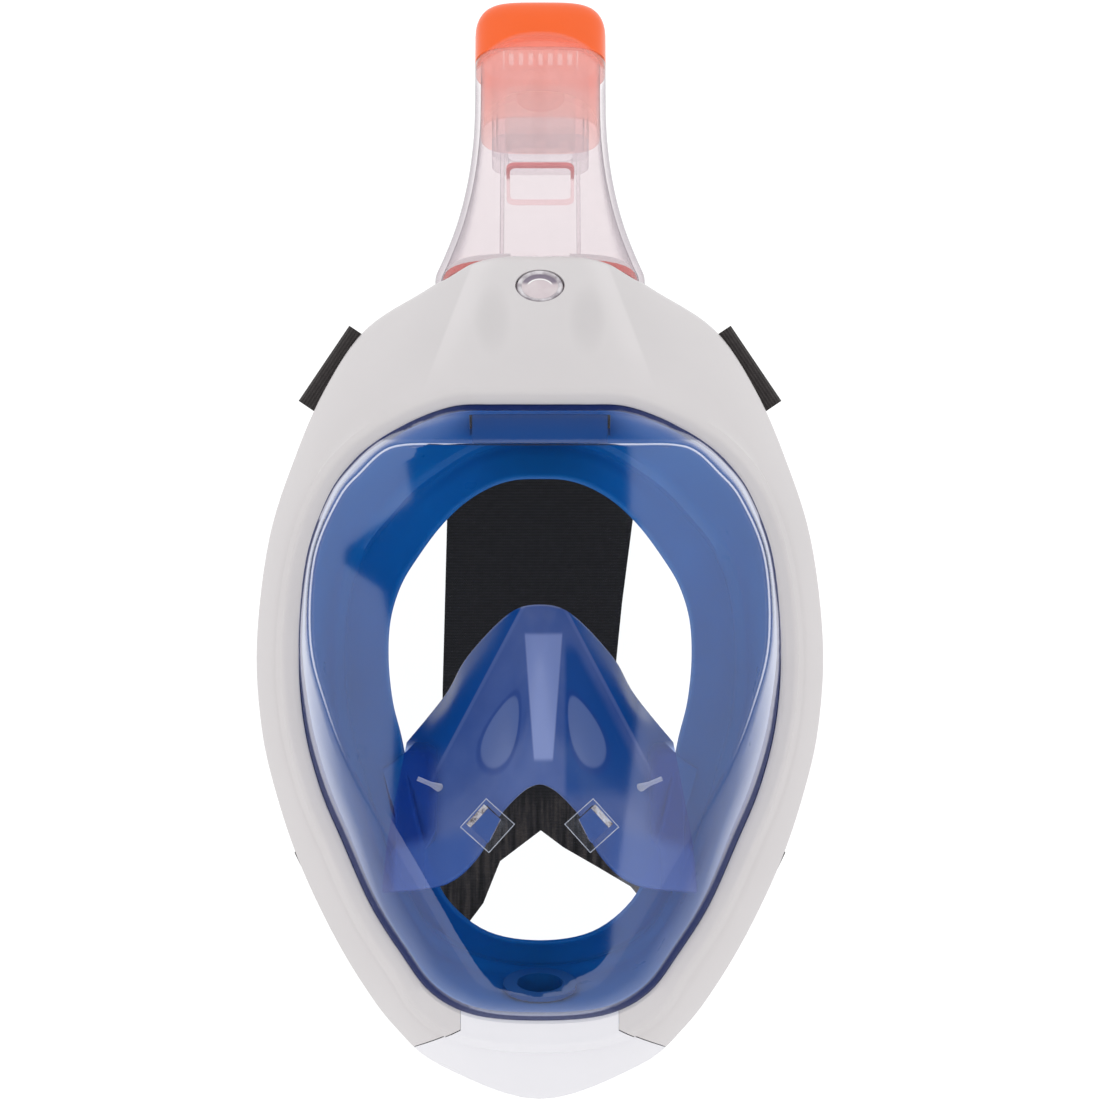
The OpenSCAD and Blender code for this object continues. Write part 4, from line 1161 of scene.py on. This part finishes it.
# Edges of the dark gap between the two big soft boxes, as the flat window mirrors it: (z, x) in mm
GAP_LEFT = [(-110, -60), (-60, -48), (0, -46), (26.8, -48), (36.3, -50), (44.9, -62.4), (49.6, -61.7),
            (64.9, -40.5), (83.9, -43.6), (110, -45)]
GAP_RIGHT = [(-110, 20), (-60, 24), (0, 32), (58.5, 31.8), (60.5, 28.7), (110, 28.7)]
GAP_Z = 200.0         # the curves of the gap's edges run from -GAP_Z to GAP_Z and hold x up to GAP_X
GAP_X = 100.0
GAP_BLUR = 1.2
GAP_DARK = 0.03
SEEN_WHITE = 1.16     # the backdrop, a little over white so that it stays white through the window
CAMERA_AT = (0.0033, -1.5, 0.049)


def make_floor():
    """Paper floor: bright to the eye, softer as a light, and unseen in mirrors."""
    low, r = CAD_BOX[0][2] - FLOOR_GAP, FLOOR_HALF
    corners = np.array([(-r, -r, low), (r, -r, low), (r, r, low), (-r, r, low)])
    floor = mesh_object("floor", corners / MM, [(0, 1, 2, 3)])
    m = new_material("floor_paper")
    paper = m.value("Emission", Color=m.ramp(m.noise(3, 2), (0, 0.9), (1, 0.96)), Strength=1.0)
    glow = m.value("Emission", Color=(1.0, 1.0, 1.0), Strength=SEEN_WHITE)
    lit = m.mix(m.ray("Camera") * 0.98, paper, glow)
    cover(floor, m.surface(m.mix(m.ray("Glossy"), lit, m.clear(255, 255, 255))))


def gap_edge(m, z, points):
    """Where an edge of the gap stands at height z."""
    curve = m.node("FloatCurve", Value=(z + GAP_Z) / (2 * GAP_Z))
    track = curve.mapping.curves[0]
    ends = ((0, points[0]), (1, points[-1]))
    for (at, end), point in zip(ends, track.points):
        point.location = (at, (end[1] + GAP_X) / (2 * GAP_X))
    for at, value in points:
        track.points.new((at + GAP_Z) / (2 * GAP_Z), (value + GAP_X) / (2 * GAP_X))
    for point in track.points:
        point.handle_type = "VECTOR"
    curve.mapping.update()
    return Value(m, curve.outputs[0]) * (2 * GAP_X) - GAP_X


def make_world():
    """White studio all round, dark only in the gap that the window's flat front mirrors."""
    world = bpy.data.worlds.new("studio")
    bpy.context.scene.world = world
    m = Nodes(world, "ShaderNodeOutputWorld")
    split = m.node("SeparateXYZ", Vector=m.value("TexCoord", "Generated"))
    x, y, z = (Value(m, part) for part in split.outputs)
    ahead = y * -1.0
    camera = [part / MM for part in CAMERA_AT]
    reach = -camera[1] / ahead.at_least(0.02)
    x, z = x * reach + camera[0], z * reach + camera[2]
    inside = m.math("GREATER_THAN", ahead, 0.3)
    for depth in (x - gap_edge(m, z, GAP_LEFT), gap_edge(m, z, GAP_RIGHT) - x):
        inside = inside * (depth * (1 / GAP_BLUR) + 0.5).at_least(0.0).at_most(1.0)
    level = (inside * (GAP_DARK - 1.0) + 1.0).at_least(m.ray("Camera") * SEEN_WHITE)
    m.surface(m.value("Background", Color=(1.0, 1.0, 1.0), Strength=level))


def make_camera():
    data = bpy.data.cameras.new("camera")
    data.lens = 154.6
    data.sensor_width = 36
    camera = bpy.data.objects.new("camera", data)
    camera.location = CAMERA_AT
    camera.rotation_euler = (math.radians(90), 0, 0)
    bpy.context.scene.collection.objects.link(camera)
    bpy.context.scene.camera = camera


make_floor()
make_world()
make_camera()
bpy.context.scene.view_settings.view_transform = "Standard"
bpy.context.scene.cycles.transparent_max_bounces = 48
